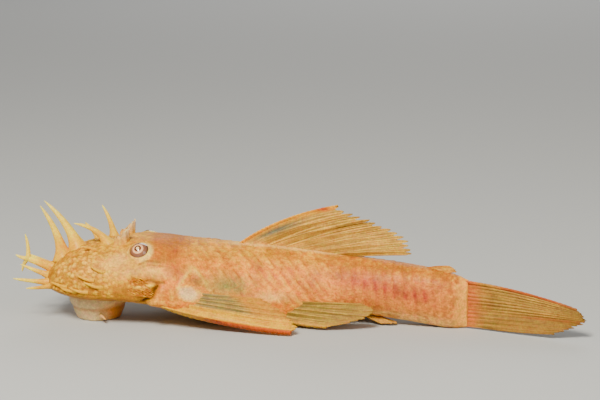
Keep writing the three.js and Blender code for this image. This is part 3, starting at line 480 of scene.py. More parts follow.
def flesh_mottle():
    """Shader group: breaks a flesh colour up with soft blotches, flecks and a turn of hue, and gives pores."""
    group = bpy.data.node_groups.new("flesh mottle", "ShaderNodeTree")
    for name, kind in (("Colour", "NodeSocketColor"), ("Strength", "NodeSocketFloat"), ("Scale", "NodeSocketFloat")):
        group.interface.new_socket(name=name, in_out="INPUT", socket_type=kind)
    for name, kind in (("Colour", "NodeSocketColor"), ("Height", "NodeSocketFloat"), ("Gloss", "NodeSocketFloat")):
        group.interface.new_socket(name=name, in_out="OUTPUT", socket_type=kind)
    start = node(group, "NodeGroupInput", (-900, 0))
    end = node(group, "NodeGroupOutput", (900, 0))
    where = node(group, "ShaderNodeTexCoord", (-900, -300))
    link = group.links.new
    noises = []
    for level, (times, detail) in enumerate(((1.0, 3.0), (2.3, 2.0), (5.0, 2.0))):
        finer = node(group, "ShaderNodeMath", (-760, -200 - 300 * level), operation="MULTIPLY")
        finer.inputs[1].default_value = times
        made = node(group, "ShaderNodeTexNoise", (-600, -200 - 300 * level), Detail=detail, Roughness=0.65)
        link(start.outputs["Scale"], finer.inputs[0])
        link(where.outputs["Object"], made.inputs["Vector"])
        link(finer.outputs[0], made.inputs["Scale"])
        noises.append(made)
    blotch, hue, speck = noises
    spread = ranged(group, (-380, -200), 0.3, 0.7, 0.8, 1.2)
    dots = ranged(group, (-380, -800), 0.35, 0.65, 0.8, 1.2)
    turned = node(group, "ShaderNodeValToRGB", (-380, -500))
    ramp = turned.color_ramp
    ramp.elements[0].position = 0.32
    ramp.elements[0].color = (0.95, 0.76, 0.8, 1)
    ramp.elements[1].position = 0.68
    ramp.elements[1].color = (1.0, 1.18, 0.9, 1)
    gloss = ranged(group, (300, -800), 0.3, 0.7, 0.85, 1.2)
    link(blotch.outputs["Fac"], spread.inputs["Value"])
    link(speck.outputs["Fac"], dots.inputs["Value"])
    link(hue.outputs["Fac"], turned.inputs["Fac"])
    link(hue.outputs["Fac"], gloss.inputs["Value"])
    both = node(group, "ShaderNodeMath", (-160, -300), operation="MULTIPLY")
    link(spread.outputs[0], both.inputs[0])
    link(dots.outputs[0], both.inputs[1])
    shade = node(group, "ShaderNodeVectorMath", (60, 0), operation="SCALE")
    link(start.outputs["Colour"], shade.inputs[0])
    link(both.outputs[0], shade.inputs["Scale"])
    hued = node(group, "ShaderNodeVectorMath", (240, 0), operation="MULTIPLY")
    link(shade.outputs[0], hued.inputs[0])
    link(turned.outputs["Color"], hued.inputs[1])
    blend = node(group, "ShaderNodeMix", (460, 0), data_type="RGBA")
    link(start.outputs["Strength"], blend.inputs["Factor"])
    link(start.outputs["Colour"], blend.inputs[6])
    link(hued.outputs[0], blend.inputs[7])
    link(blend.outputs[2], end.inputs["Colour"])
    link(speck.outputs["Fac"], end.inputs["Height"])
    link(gloss.outputs[0], end.inputs["Gloss"])
    return group


MOTTLE = flesh_mottle()


def flesh_material(name, strength, scale, roughness, subsurface, coat, bump, grain_scale=0.0):
    """Moist flesh: the painted colour broken up by the mottle, with pores, and small horny grains if asked for."""
    material = bpy.data.materials.new(name)
    material.use_nodes = True
    tree = material.node_tree
    shader = tree.nodes["Principled BSDF"]
    colour = node(tree, "ShaderNodeAttribute", (-900, 100), attribute_name="Tint")
    mottle = node(tree, "ShaderNodeGroup", (-600, 100), node_tree=MOTTLE)
    mottle.inputs["Strength"].default_value = strength
    mottle.inputs["Scale"].default_value = scale
    bumps = node(tree, "ShaderNodeBump", (-300, -200), Strength=bump, Distance=0.00012)
    tree.links.new(colour.outputs["Color"], mottle.inputs["Colour"])
    tree.links.new(mottle.outputs["Colour"], shader.inputs["Base Color"])
    tree.links.new(mottle.outputs["Height"], bumps.inputs["Height"])
    if grain_scale:
        where = node(tree, "ShaderNodeTexCoord", (-900, -600))
        grains = node(tree, "ShaderNodeTexVoronoi", (-700, -600), Scale=grain_scale)
        strongly = node(tree, "ShaderNodeAttribute", (-700, -400), attribute_name="Grain")
        fine = node(tree, "ShaderNodeBump", (-460, -500), Distance=0.0001, invert=True)
        tree.links.new(where.outputs["Object"], grains.inputs["Vector"])
        tree.links.new(grains.outputs["Distance"], fine.inputs["Height"])
        tree.links.new(strongly.outputs["Fac"], fine.inputs["Strength"])
        tree.links.new(fine.outputs["Normal"], bumps.inputs["Normal"])
    tree.links.new(bumps.outputs["Normal"], shader.inputs["Normal"])
    rough = node(tree, "ShaderNodeMath", (-300, -50), operation="MULTIPLY")
    rough.inputs[1].default_value = roughness
    tree.links.new(mottle.outputs["Gloss"], rough.inputs[0])
    tree.links.new(rough.outputs[0], shader.inputs["Roughness"])
    shader.inputs["Specular IOR Level"].default_value = 0.16
    shader.inputs["Subsurface Weight"].default_value = subsurface
    shader.inputs["Subsurface Radius"].default_value = (1.0, 0.4, 0.15)
    shader.inputs["Subsurface Scale"].default_value = 0.001
    shader.inputs["Coat Weight"].default_value = coat
    shader.inputs["Coat Roughness"].default_value = 0.2
    return material


skin.data.materials.append(flesh_material("moist plated skin", 0.9, 420.0, 0.5, 0.2, 0.03, 0.5, 2700.0))
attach(skin, "root")
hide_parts("head", "trunk", "tail_stalk")


# Eyes. Each is a glossy ball sunk in its socket. The small pupil is painted as a pale orange glint of light; round it
# lie a dark red ring, a pale pinkish ring and a broad mauve-grey one, as in an albino fish.
def eyeball(name, which):
    centre, axis = eye_frame(which)
    bpy.ops.object.select_all(action="DESELECT")
    bpy.ops.mesh.primitive_uv_sphere_add(segments=64, ring_count=48, radius=EYE_RADIUS * MM)
    eye = bpy.context.object
    eye.name = name
    mesh = eye.data
    points = np.empty(len(mesh.vertices) * 3)
    mesh.vertices.foreach_get("co", points)
    points = points.reshape(-1, 3)
    from_pole = np.hypot(points[:, 0], points[:, 1]) / MM
    front = points[:, 2] > 0
    points[:, 2] += np.where(front, 0.12 * MM * np.exp(-((from_pole / 0.95) ** 2)), 0)
    store_value(eye, "Ring", np.where(front, from_pole, EYE_RADIUS))
    turn_to = Vector((0, 0, 1)).rotation_difference(Vector(axis))
    moved = np.array([turn_to @ Vector(p) for p in points]) + centre * MM
    mesh.vertices.foreach_set("co", moved.ravel())
    mesh.update()
    bpy.ops.object.shade_smooth()
    return eye


iris = bpy.data.materials.new("albino eye")
iris.use_nodes = True
tree = iris.node_tree
ring_value = node(tree, "ShaderNodeAttribute", (-900, 0), attribute_name="Ring")
to_rim = node(tree, "ShaderNodeMath", (-720, 0), operation="DIVIDE")
to_rim.inputs[1].default_value = 2.2
iris_ramp_with_glint = node(tree, "ShaderNodeValToRGB", (-520, 0))
ramp = iris_ramp_with_glint.color_ramp
# Iris rings from the middle out; the first two stops are a painted pale orange and white glint of light on the pupil.
iris_rings_and_glint = (
    (0.0, (0.95, 0.6, 0.22)), (0.13, (0.95, 0.8, 0.5)), (0.18, (0.5, 0.16, 0.03)), (0.22, (0.07, 0.012, 0.003)),
    (0.33, (0.08, 0.014, 0.004)), (0.38, (0.9, 0.36, 0.13)), (0.46, (0.97, 0.62, 0.36)), (0.55, (0.85, 0.42, 0.22)),
    (0.6, (0.3, 0.105, 0.055)), (0.72, (0.25, 0.1, 0.055)), (0.86, (0.2, 0.075, 0.04)), (0.97, (0.1, 0.035, 0.01)),
)
while len(ramp.elements) < len(iris_rings_and_glint):
    ramp.elements.new(0.5)
for element, (where, colour) in zip(ramp.elements, iris_rings_and_glint):
    element.position = where
for element, (where, colour) in zip(ramp.elements, iris_rings_and_glint):
    element.color = (*colour, 1)
iris_mottle = node(tree, "ShaderNodeGroup", (-220, 0), node_tree=MOTTLE)
iris_mottle.inputs["Strength"].default_value = 0.5
iris_mottle.inputs["Scale"].default_value = 1400.0
tree.links.new(ring_value.outputs["Fac"], to_rim.inputs[0])
tree.links.new(to_rim.outputs[0], iris_ramp_with_glint.inputs["Fac"])
tree.links.new(iris_ramp_with_glint.outputs["Color"], iris_mottle.inputs["Colour"])
shader = tree.nodes["Principled BSDF"]
tree.links.new(iris_mottle.outputs["Colour"], shader.inputs["Base Color"])
shader.inputs["Roughness"].default_value = 0.25
shader.inputs["Coat Weight"].default_value = 1.0
shader.inputs["Coat Roughness"].default_value = 0.03
for name, which, cad in (("eyeball_left", 1, "eye_left"), ("eyeball_right", -1, "eye_right")):
    eye = eyeball(name, which)
    eye.data.materials.append(iris)
    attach(eye, "root")
    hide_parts(cad)


# Tentacles. The soft, branching bristles of a grown male, tapering cords of pale yellow flesh that rise from
# spread roots on the snout and its edge. Small ones lie back along the cheeks.
def ahead(lift_deg, splay_deg):
    up, splay = math.radians(lift_deg), math.radians(splay_deg)
    return np.array([-math.cos(up) * math.cos(splay), -math.cos(up) * math.sin(splay), math.sin(up)])


def bow(root, length, lift_range, splay_range):
    knee = root + ahead(lift_range[0], splay_range[0]) * length * 0.5
    tip = knee + ahead(lift_range[1], splay_range[1]) * length * 0.55
    return np.array([(1 - t) ** 2 * root + 2 * t * (1 - t) * knee + t * t * tip for t in np.linspace(0, 1, 9)])


def cord(points, radii, flesh=8):
    """A round tapering cord through points, made from a bevelled path and turned into a mesh."""
    bpy.ops.object.select_all(action="DESELECT")
    bpy.ops.curve.primitive_nurbs_path_add()
    path = bpy.context.object
    curve = path.data
    curve.splines.clear()
    spline = curve.splines.new("NURBS")
    spline.points.add(len(points) - 1)
    for point, at, radius in zip(spline.points, points, radii):
        point.co = (*(at * MM), 1)
        point.radius = radius
    spline.order_u = 4
    spline.use_endpoint_u = True
    spline.resolution_u = flesh
    curve.dimensions = "3D"
    curve.bevel_depth = MM
    curve.bevel_resolution = 4
    curve.use_fill_caps = True
    bpy.ops.object.convert(target="MESH")
    return bpy.context.object


def joined(name, parts):
    bpy.ops.object.select_all(action="DESELECT")
    for part in parts:
        part.select_set(True)
    bpy.context.view_layer.objects.active = parts[0]
    bpy.ops.object.join()
    whole = bpy.context.object
    whole.name = name
    whole.data.name = name
    bpy.ops.object.transform_apply(location=True, rotation=True, scale=True)
    bpy.ops.object.mode_set(mode="EDIT")
    bpy.ops.mesh.select_all(action="SELECT")
    bpy.ops.mesh.remove_doubles(threshold=1e-6)
    bpy.ops.mesh.normals_make_consistent(inside=False)
    bpy.ops.object.mode_set(mode="OBJECT")
    bpy.ops.object.shade_smooth()
    return whole


def taper(radius, tip, steps, flare=1.1):
    t = np.linspace(0, 1, steps)
    radii = (radius + (tip - radius) * t ** 1.1) * (1 + flare * (1 - t) ** 7)
    radii[-1] = tip * 0.35
    return radii


TENTACLES = (
    # along, angle, length, root radius, lift at root and tip, splay at root and tip
    (7.6, 0.1, 12.8, 1.35, (72, 40), (4, -6)),
    (3.9, 0.16, 12.4, 1.3, (82, 54), (20, 0)),
    (15.4, 0.3, 9.2, 0.95, (62, 8), (14, 4)),
    (15.6, -0.3, 7.4, 0.85, (84, 58), (-10, -6)),
    (13.4, 0.52, 3.2, 0.42, (30, 8), (20, 6)),
    (11.6, -0.5, 5.2, 0.6, (60, 30), (-40, -30)),
    (1.5, -0.95, 6.8, 0.75, (24, 20), (-14, -8)),
    (1.3, 1.5, 7.6, 0.72, (6, 9), (22, 4)),
    (2.1, 1.8, 5.4, 0.6, (-6, 2), (34, 16)),
    (1.0, 0.95, 6.2, 0.72, (20, 24), (8, 4)),
    (2.6, -1.5, 6.6, 0.68, (8, 14), (-44, -26)),
    (4.6, -1.45, 5.4, 0.6, (8, 22), (-66, -50)),
    (7.8, -1.5, 4.0, 0.5, (4, 18), (-84, -62)),
)
parts = []
for at, angle, length, radius, lifts, splays in TENTACLES:
    points = bow(skin_point(at, angle, -1.0), length + 1.0, lifts, splays)
    parts.append(cord(points, taper(radius, 0.22, len(points))))
fork_stem = bow(skin_point(1.7, 0.35, -1.0), 7.2, (24, 20), (16, 6))
parts.append(cord(fork_stem, taper(1.2, 0.62, len(fork_stem), 0.6)))
for length, lifts, splays in ((5.6, (96, 74), (0, 0)), (3.0, (4, 32), (24, 0)), (3.7, (-40, -84), (-20, 0))):
    points = bow(fork_stem[7], length, lifts, splays)
    parts.append(cord(points, taper(0.58, 0.2, len(points), 0.1)))
CHEEK_TENTACLES = (
    (15.0, 1.12, 2.6), (12.6, 1.3, 3.3), (14.6, 1.45, 3.4), (11.2, 1.6, 3.4), (8.4, 1.62, 2.8), (6.0, 1.5, 2.6),
)
for which in (1, -1):
    for at, angle, length in CHEEK_TENTACLES:
        points = np.array([
            skin_point(at + 0.6, angle * which, -0.3),
            skin_point(at - length * 0.15, angle * which, 0.3),
            skin_point(at - length * 0.55, (angle - 0.05) * which, 0.6),
            skin_point(at - length * 0.85, (angle - 0.09) * which, 0.75),
            skin_point(at - length, (angle - 0.12) * which, 0.85),
        ])
        parts.append(cord(points, taper(0.42, 0.2, len(points), 0.3)))
tentacles = joined("tentacles", parts)
count = len(tentacles.data.vertices)
points = np.empty(count * 3)
tentacles.data.vertices.foreach_get("co", points)
points = points.reshape(-1, 3) / MM - SNOUT
reach = np.clip(np.maximum(-points[:, 0] / 7.0, (points[:, 2] - 17.0) / 10.0), 0, 1)
tint = np.tile((0.8, 0.41, 0.01), (count, 1))
tint = paint(tint, smooth(0.0, 0.35, reach), (0.98, 0.67, 0.04))
tint = paint(tint, smooth(0.5, 1.0, reach), (0.94, 0.7, 0.13))
on_cheek = (points[:, 0] > 4) * (points[:, 2] < 14.5)
tint = paint(tint, 0.8 * on_cheek, (0.72, 0.38, 0.01))
tint = paint(tint, 0.6 * spot(points[:, 0], points[:, 2], 13.0, 20.0, 3.0, 2.5), (0.62, 0.24, 0.002))
store_colour(tentacles, tint)
tentacles.data.materials.append(flesh_material("soft tentacle flesh", 0.6, 500.0, 0.45, 0.3, 0.05, 0.25))
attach(tentacles, "root")
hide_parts("head")


# Cheek spines and nostrils. A patch of thin hooked spines stands on each cheek before the gill opening. Each
# nostril is a short tube of thin skin with a higher flap behind.
rng = np.random.default_rng(7)
parts = []
for which in (1, -1):
    for r in range(8):
        for c in range(7):
            s = 20.2 + 0.7 * c + 0.2 * r + rng.uniform(-0.3, 0.3)
            angle = 1.26 + 0.048 * r + rng.uniform(-0.02, 0.02)
            length = rng.uniform(1.2, 2.3)
            dip = rng.uniform(0.02, 0.07)
            points = np.array([
                skin_point(s, angle * which, -0.2),
                skin_point(s + 0.2, angle * which, 0.15),
                skin_point(s + 0.5 * length, (angle + 0.4 * dip) * which, 0.35),
                skin_point(s + length, (angle + dip) * which, 0.5),
            ])
            parts.append(cord(points, np.array([0.13, 0.12, 0.09, 0.03]), 4))
spines = joined("cheek_spines", parts)
points = np.empty(len(spines.data.vertices) * 3)
spines.data.vertices.foreach_get("co", points)
each = np.array([noise.noise(Vector(p) * 900) for p in points.reshape(-1, 3)])
store_colour(spines, paint(np.tile((0.55, 0.17, 0.001), (len(each), 1)), smooth(0.0, 0.4, each), (0.84, 0.38, 0.008)))
spines.data.materials.append(flesh_material("horny spine", 0.9, 900.0, 0.4, 0.1, 0.12, 0.1))
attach(spines, "root")
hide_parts("head")

parts = []
for which in (1, -1):
    bpy.ops.object.select_all(action="DESELECT")
    bpy.ops.mesh.primitive_grid_add(x_subdivisions=72, y_subdivisions=16, size=1)
    flap = bpy.context.object
    grid = np.empty(len(flap.data.vertices) * 3)
    flap.data.vertices.foreach_get("co", grid)
    grid = grid.reshape(-1, 3)
    round_way, up = grid[:, 0] * 2 * math.pi * 0.9, grid[:, 1] + 0.5
    behind = 0.5 + 0.5 * np.cos(round_way)
    tall = 0.8 + 2.5 * behind ** 1.4 + 0.18 * np.sin(round_way * 5) + 0.1 * np.sin(round_way * 9 + 1.0)
    radius = 1.5 + 0.25 * (1 - up) ** 2 - 0.2 * up ** 2 * behind + 0.1 * np.sin(round_way * 7 + up * 3)
    root = skin_point(18.6, 0.36 * which)
    ring = np.stack([
        radius * np.cos(round_way) + 0.5 * up ** 1.5 * behind,
        radius * np.sin(round_way) - 0.5 * which * up * behind,
        up * (tall + 0.7) - 0.7,
    ], -1)
    flap.data.vertices.foreach_set("co", ((ring + root) * MM).ravel())
    flap.data.update()
    thick = flap.modifiers.new("thickness", "SOLIDIFY")
    thick.thickness = 0.22 * MM
    thick.offset = 0
    bpy.ops.object.modifier_apply(modifier=thick.name)
    parts.append(flap)
nostrils = joined("nostrils", parts)
points = np.empty(len(nostrils.data.vertices) * 3)
nostrils.data.vertices.foreach_get("co", points)
# Paler and bluer towards the top: the flap's pale skin, with a painted bluish highlight.
high = smooth(18.8, 21.0, points[2::3] / MM)
store_colour(nostrils, paint(np.tile((0.74, 0.36, 0.05), (len(high), 1)), high, (0.74, 0.5, 0.25)))
nostrils.data.materials.append(flesh_material("thin nostril skin", 0.8, 600.0, 0.45, 0.3, 0.08, 0.2))
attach(nostrils, "root")
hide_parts("head")


# Sucker mouth. A round fleshy muzzle under the head grips the ground: a crease parts it into two soft lips, and its
# rim is flat, with warts inside, a small mouth opening and a barbel at each side.
bpy.ops.object.select_all(action="DESELECT")
bpy.ops.mesh.primitive_uv_sphere_add(segments=128, ring_count=72, radius=1)
sucker = bpy.context.object
sucker.name = "sucker"
LIP_PROFILE = np.array([
    [0, 6.8], [6.6, 6.7], [7.15, 5.9], [7.25, 5.0], [7.1, 4.2], [6.75, 3.5], [6.4, 3.1], [6.25, 2.8], [6.25, 2.4],
    [6.0, 1.7], [5.7, 1.0], [5.5, 0.4], [5.25, 0.0], [4.8, 0.05], [4.3, 0.4], [3.5, 0.9], [2.5, 1.3], [1.4, 1.6],
    [0.9, 2.2], [0, 2.4],
])
points = np.empty(len(sucker.data.vertices) * 3)
sucker.data.vertices.foreach_get("co", points)
points = points.reshape(-1, 3)
down = np.arccos(np.clip(points[:, 2], -1, 1)) / math.pi
round_way = np.arctan2(points[:, 1], points[:, 0])
lengths = np.concatenate([[0], np.cumsum(np.hypot(*np.diff(LIP_PROFILE, axis=0).T))])
lengths /= lengths[-1]
radius = np.interp(down, lengths, LIP_PROFILE[:, 0])
height = np.interp(down, lengths, LIP_PROFILE[:, 1])
inner = smooth(0.62, 0.7, down) * (1 - smooth(0.9, 0.97, down))
warts = np.array([noise.noise(Vector((math.cos(a) * r * 1.3, math.sin(a) * r * 1.3, 3.0)))
                  for a, r in zip(round_way, radius)])
height += inner * 0.35 * np.maximum(warts, 0)
folds = np.sin(round_way * 11) * 0.07 + np.sin(round_way * 23 + 1.0) * 0.05 + np.sin(round_way * 41 + 2.0) * 0.03
radius += smooth(0.3, 0.45, down) * (1 - smooth(0.6, 0.66, down)) * folds
points = np.stack([
    12.4 + radius * np.cos(round_way) * 0.95,
    radius * np.sin(round_way) * 1.12,
    np.maximum(height, 0),
], -1) + SNOUT
sucker.data.vertices.foreach_set("co", (points * MM).ravel())
sucker.data.update()
bpy.ops.object.shade_smooth()
parts = [sucker]
for which in (1, -1):
    root = SNOUT + np.array([13.6, -6.2 * which, 1.4])
    along_barbel = np.array([
        root,
        root + np.array([0.3, -0.8 * which, 0.2]),
        root + np.array([0.8, -1.7 * which, 0.15]),
        root + np.array([1.3, -2.5 * which, 0.0]),
        root + np.array([1.7, -3.1 * which, -0.2]),
    ])
    parts.append(cord(along_barbel, taper(0.45, 0.2, 5, 0.2)))
sucker = joined("sucker", parts)
count = len(sucker.data.vertices)
points = np.empty(count * 3)
sucker.data.vertices.foreach_get("co", points)
points = points.reshape(-1, 3) / MM - SNOUT
tint = np.tile((0.7, 0.5, 0.26), (count, 1))
# Painted shade: a darker brown band in the crease between the two lips.
tint = paint(tint, 0.5 * (1 - smooth(0.2, 0.6, np.abs(points[:, 2] - 2.8))), (0.5, 0.2, 0.06))
tint = paint(tint, 0.85 * smooth(12, 17, points[:, 0]) * (1 - smooth(2.5, 5.5, points[:, 2])), (0.7, 0.22, 0.008))
tint = paint(tint, 0.6 * (1 - smooth(0, 0.5, points[:, 2])), (0.72, 0.5, 0.3))
store_colour(sucker, tint)
sucker.data.materials.append(flesh_material("soft lip", 0.7, 450.0, 0.45, 0.35, 0.08, 0.2))
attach(sucker, "root")
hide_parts("sucker_mouth")


# Fins. Each is a thin web stretched over soft branching rays behind one stiff spine, rooted in the flesh. The rays
# stand out on both faces as ridges, and their tips fringe the free edge.
def between(values, r):
    """Reads a list of rays at a fraction of the way across, on a smooth curve."""
    values = np.asarray(values, float)
    last = len(values) - 1
    i = np.clip(np.floor(r).astype(int), 0, last - 1)
    t = (r - i)[:, None]
    a, b = values[i], values[i + 1]
    ma = (b - values[np.maximum(i - 1, 0)]) / 2
    mb = (values[np.minimum(i + 2, last)] - a) / 2
    return a + t * (ma + t * (3 * (b - a) - 2 * ma - mb + t * (2 * (a - b) + ma + mb)))


def web_point(rays, r, t):
    root, tip, bend = (between([ray[k] for ray in rays], r) for k in range(3))
    knee = (root + tip) / 2 + bend
    t = t[:, None]
    at = (1 - t) ** 2 * root + 2 * t * (1 - t) * knee + t * t * tip
    return place(at[:, 0], at[:, 1], at[:, 2])


def fin_sheet(name, rays, columns, rows, spine, rib, web, fringe, branching=True, seed=1, ripple=0.1):
    """The web and rays of one fin. Gives the piece, how strongly each point lies on a ray, and its place on it."""
    bpy.ops.object.select_all(action="DESELECT")
    bpy.ops.mesh.primitive_grid_add(x_subdivisions=columns, y_subdivisions=rows, size=1)
    piece = bpy.context.object
    piece.name = name
    piece.data.name = name
    grid = np.empty(len(piece.data.vertices) * 3)
    piece.data.vertices.foreach_get("co", grid)
    grid = grid.reshape(-1, 3)
    last = len(rays) - 1
    r = np.clip(grid[:, 0] + 0.5, 0, 1) * last
    t = np.clip(grid[:, 1] + 0.5, 0, 1)
    tips = web_point(rays, np.arange(last + 1.0), np.ones(last + 1))
    roots = web_point(rays, np.arange(last + 1.0), np.zeros(last + 1))
    gap_tip = np.linalg.norm(np.diff(tips, axis=0), axis=1).mean()
    gap_root = np.linalg.norm(np.diff(roots, axis=0), axis=1).mean()
    gap = gap_root + (gap_tip - gap_root) * t
    nearest = np.rint(r)
    away = r - nearest
    wide = np.where(nearest == 0, 1.1 * spine, 0.17) / gap
    if branching:
        first = 0.25 * smooth(0.1, 0.8, t) * (nearest > 0)
        second = 0.125 * smooth(0.35, 0.95, t) * (nearest > 0)
        lines = [a * first + b * second for a in (-1, 1) for b in (-1, 1)]
    else:
        lines = [0 * t]
    ridge = np.max([np.exp(-(((away - line) / wide) ** 2)) for line in lines], axis=0)
    lead = np.exp(-((r / (0.9 * wide)) ** 2)) * (nearest == 0)
    finger = np.max([np.exp(-(((away - side * 0.25) / 0.15) ** 2)) for side in (-1, 1)], axis=0)
    finger = np.where(nearest == 0, np.maximum(finger, lead), finger)
    random = np.random.default_rng(seed)
    jag = np.interp(r, np.arange(last * 4 + 1) / 4, random.uniform(0, 1, last * 4 + 1))
    t = t * (1 - fringe * (1 - finger) - 0.6 * fringe * jag - 0.15 * fringe * (1 - ridge))
    points = web_point(rays, r, t)
    across = web_point(rays, np.clip(r + 0.01, 0, last), t) - web_point(rays, np.clip(r - 0.01, 0, last), t)
    outwards = web_point(rays, r, t + 0.01) - web_point(rays, r, t - 0.01)
    facing = np.cross(across, outwards)
    facing /= np.linalg.norm(facing, axis=1, keepdims=True) + 1e-9
    wave = ripple * np.sin(r * 2 * math.pi) * t + 0.5 * ripple * np.sin(r * 5.1 + 4 * t)
    points += facing * wave[:, None]
    piece.data.vertices.foreach_set("co", (points * MM).ravel())
    half = web + (rib - web) * ridge * (1 - 0.45 * t)
    half = np.maximum(half, spine * lead * (1 - 0.5 * t))
    half *= 1 + 0.12 * ridge * np.sin(t * 150)
    thickest = half.max()
    group = piece.vertex_groups.new(name="thickness")
    for n, value in enumerate(half / thickest):
        group.add((n,), float(value), "REPLACE")
    store_value(piece, "Ridge", ridge)
    store_value(piece, "Across", r)
    store_value(piece, "Outwards", t)
    piece.data.update()
    thick = piece.modifiers.new("thickness", "SOLIDIFY")
    thick.thickness = 2 * thickest * MM
    thick.offset = 0
    thick.vertex_group = "thickness"
    bpy.ops.object.modifier_apply(modifier=thick.name)
    piece.vertex_groups.clear()
    bpy.ops.object.shade_smooth()
    return piece


def read(piece, name):
    values = np.empty(len(piece.data.vertices), np.float32)
    piece.data.attributes[name].data.foreach_get("value", values)
    return values.astype(float)


FIN_FLESH = flesh_material("fin web and rays", 0.8, 480.0, 0.5, 0.25, 0.02, 0.3)


def finish_fin(piece, cad, web_colour, ray_colour, base_colour, extra=()):
    ridge, r, t = (read(piece, name) for name in ("Ridge", "Across", "Outwards"))
    colours = np.tile(web_colour, (len(r), 1))
    colours = paint(colours, 0.85 * ridge, ray_colour)
    colours = paint(colours, 0.8 * (1 - smooth(0.05, 0.3, t)), base_colour)
    wave = np.array([noise.noise(Vector((a * 2.1, b * 9.0, 5.0))) for a, b in zip(r, t)])
    lines = np.array([noise.noise(Vector((a * 15.0, b * 2.0, 9.0))) for a, b in zip(r, t)])
    colours *= (1 + 0.25 * wave + 0.6 * lines)[:, None]
    for mask, colour in extra:
        colours = paint(colours, mask(r, t, ridge), colour)
    store_colour(piece, colours)
    piece.data.materials.append(FIN_FLESH)
    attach(piece, "root")
    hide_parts(cad)


# Back fin, raised
DORSAL_ROOTS = (44.2, 46.5, 49.8, 53.2, 56.6, 59.9, 63.2, 66.6)
DORSAL_TIPS = (
    (69.0, 26.9), (71.9, 25.6), (75.2, 24.3), (78.7, 22.9), (82.0, 21.5), (84.9, 19.9), (86.4, 18.0), (85.9, 16.1),
)
DORSAL_BOWS = (5.6, 4.0, 2.8, 2.0, 1.4, 1.0, 0.7, 0.5)
dorsal_rays = []
for i, (root, (tip, high), bend) in enumerate(zip(DORSAL_ROOTS, DORSAL_TIPS, DORSAL_BOWS)):
    sway = 0.5 * math.sin(i * 1.3)
    top = float(body_at(np.array(root))[1])
    dorsal_rays.append(((root, 0, top - 1.2), (tip, sway, high), (-0.35 * bend, 0.5 * sway, 0.5 * bend)))
dorsal = fin_sheet("back_fin", dorsal_rays, 224, 110, 0.9, 0.26, 0.12, 0.075)
finish_fin(dorsal, "dorsal_fin", (0.42, 0.225, 0.028), (0.66, 0.37, 0.07), (0.6, 0.3, 0.05), (
    (lambda r, t, ridge: 0.7 * (1 - smooth(0.06, 0.14, t)), (0.9, 0.56, 0.16)),
    (lambda r, t, ridge: 0.95 * spot(r, t, 0.82, 0.34, 0.34, 0.2), (0.11, 0.12, 0.085)),
    (lambda r, t, ridge: 0.95 * np.exp(-((r / 0.44) ** 4)), (0.84, 0.38, 0.008)),
    (lambda r, t, ridge: 0.95 * np.exp(-((r / 0.44) ** 4)) * spot(t, t, 0.84, 0.84, 0.08, 0.08), (0.5, 0.06, 0.01)),
))

# Small second back fin
ADIPOSE = (
    ((86.6, 0, 12.6), (94.6, 0, 14.1), (0, 0, 0.9)),
    ((89.6, 0, 12.2), (95.8, 0, 13.5), (0, 0, 0.6)),
    ((92.4, 0, 11.8), (96.2, 0, 12.8), (0, 0, 0.4)),
)
adipose = fin_sheet("small_back_fin", ADIPOSE, 40, 40, 0.45, 0.2, 0.14, 0.04, branching=False, ripple=0.04)
finish_fin(adipose, "adipose_fin", (0.6, 0.28, 0.04), (0.7, 0.34, 0.05), (0.7, 0.29, 0.03), (
    (lambda r, t, ridge: 0.8 * np.exp(-((r / 0.3) ** 2)), (0.66, 0.24, 0.02)),
))

# Tail fin, half folded, its lowest part turned out over the floor
CAUDAL_RAYS = 14
caudal_rays = []
for i in range(CAUDAL_RAYS):
    up = 1 - i / (CAUDAL_RAYS - 1)
    fold = max(0.0, 1 - up / 0.28)
    length = 28.6 - 2.4 * up ** 2 - 7.0 * fold
    high = (3.2 + 3.4 * up) * (1 - fold) + 1.3 * fold
    caudal_rays.append((
        (97.0, 0, 0.6 + 10.3 * up),
        (LENGTH + length, 2.4 * fold, high),
        (0, 0.8 * fold, 1.6 * up - 0.7 * (1 - up)),
    ))
caudal = fin_sheet("tail_fin", caudal_rays, 260, 110, 0.6, 0.2, 0.12, 0.04)
finish_fin(caudal, "caudal_fin", (0.26, 0.142, 0.022), (0.42, 0.215, 0.035), (0.46, 0.16, 0.022), (
    (lambda r, t, ridge: (1 - smooth(0.1, 0.19, t)) * (0.35 + 0.5 * ridge), (0.56, 0.11, 0.025)),
    (lambda r, t, ridge: 0.6 * smooth(0.15, 0.5, t) * smooth(7, 11, r), (0.17, 0.085, 0.01)),
    (lambda r, t, ridge: 0.9 * (1 - smooth(0.35, 0.9, r)) * smooth(0.25, 0.4, t), (0.42, 0.085, 0.015)),
    (lambda r, t, ridge: 0.7 * np.exp(-(((r - 9.4) / 0.3) ** 2)) * smooth(0.35, 0.6, t), (0.3, 0.075, 0.01)),
    (lambda r, t, ridge: 0.5 * smooth(10.2, 12, r) * smooth(0.3, 0.5, t), (0.4, 0.2, 0.04)),
    (lambda r, t, ridge: 0.55 * smooth(0.7, 1.0, t), (0.19, 0.09, 0.013)),
))

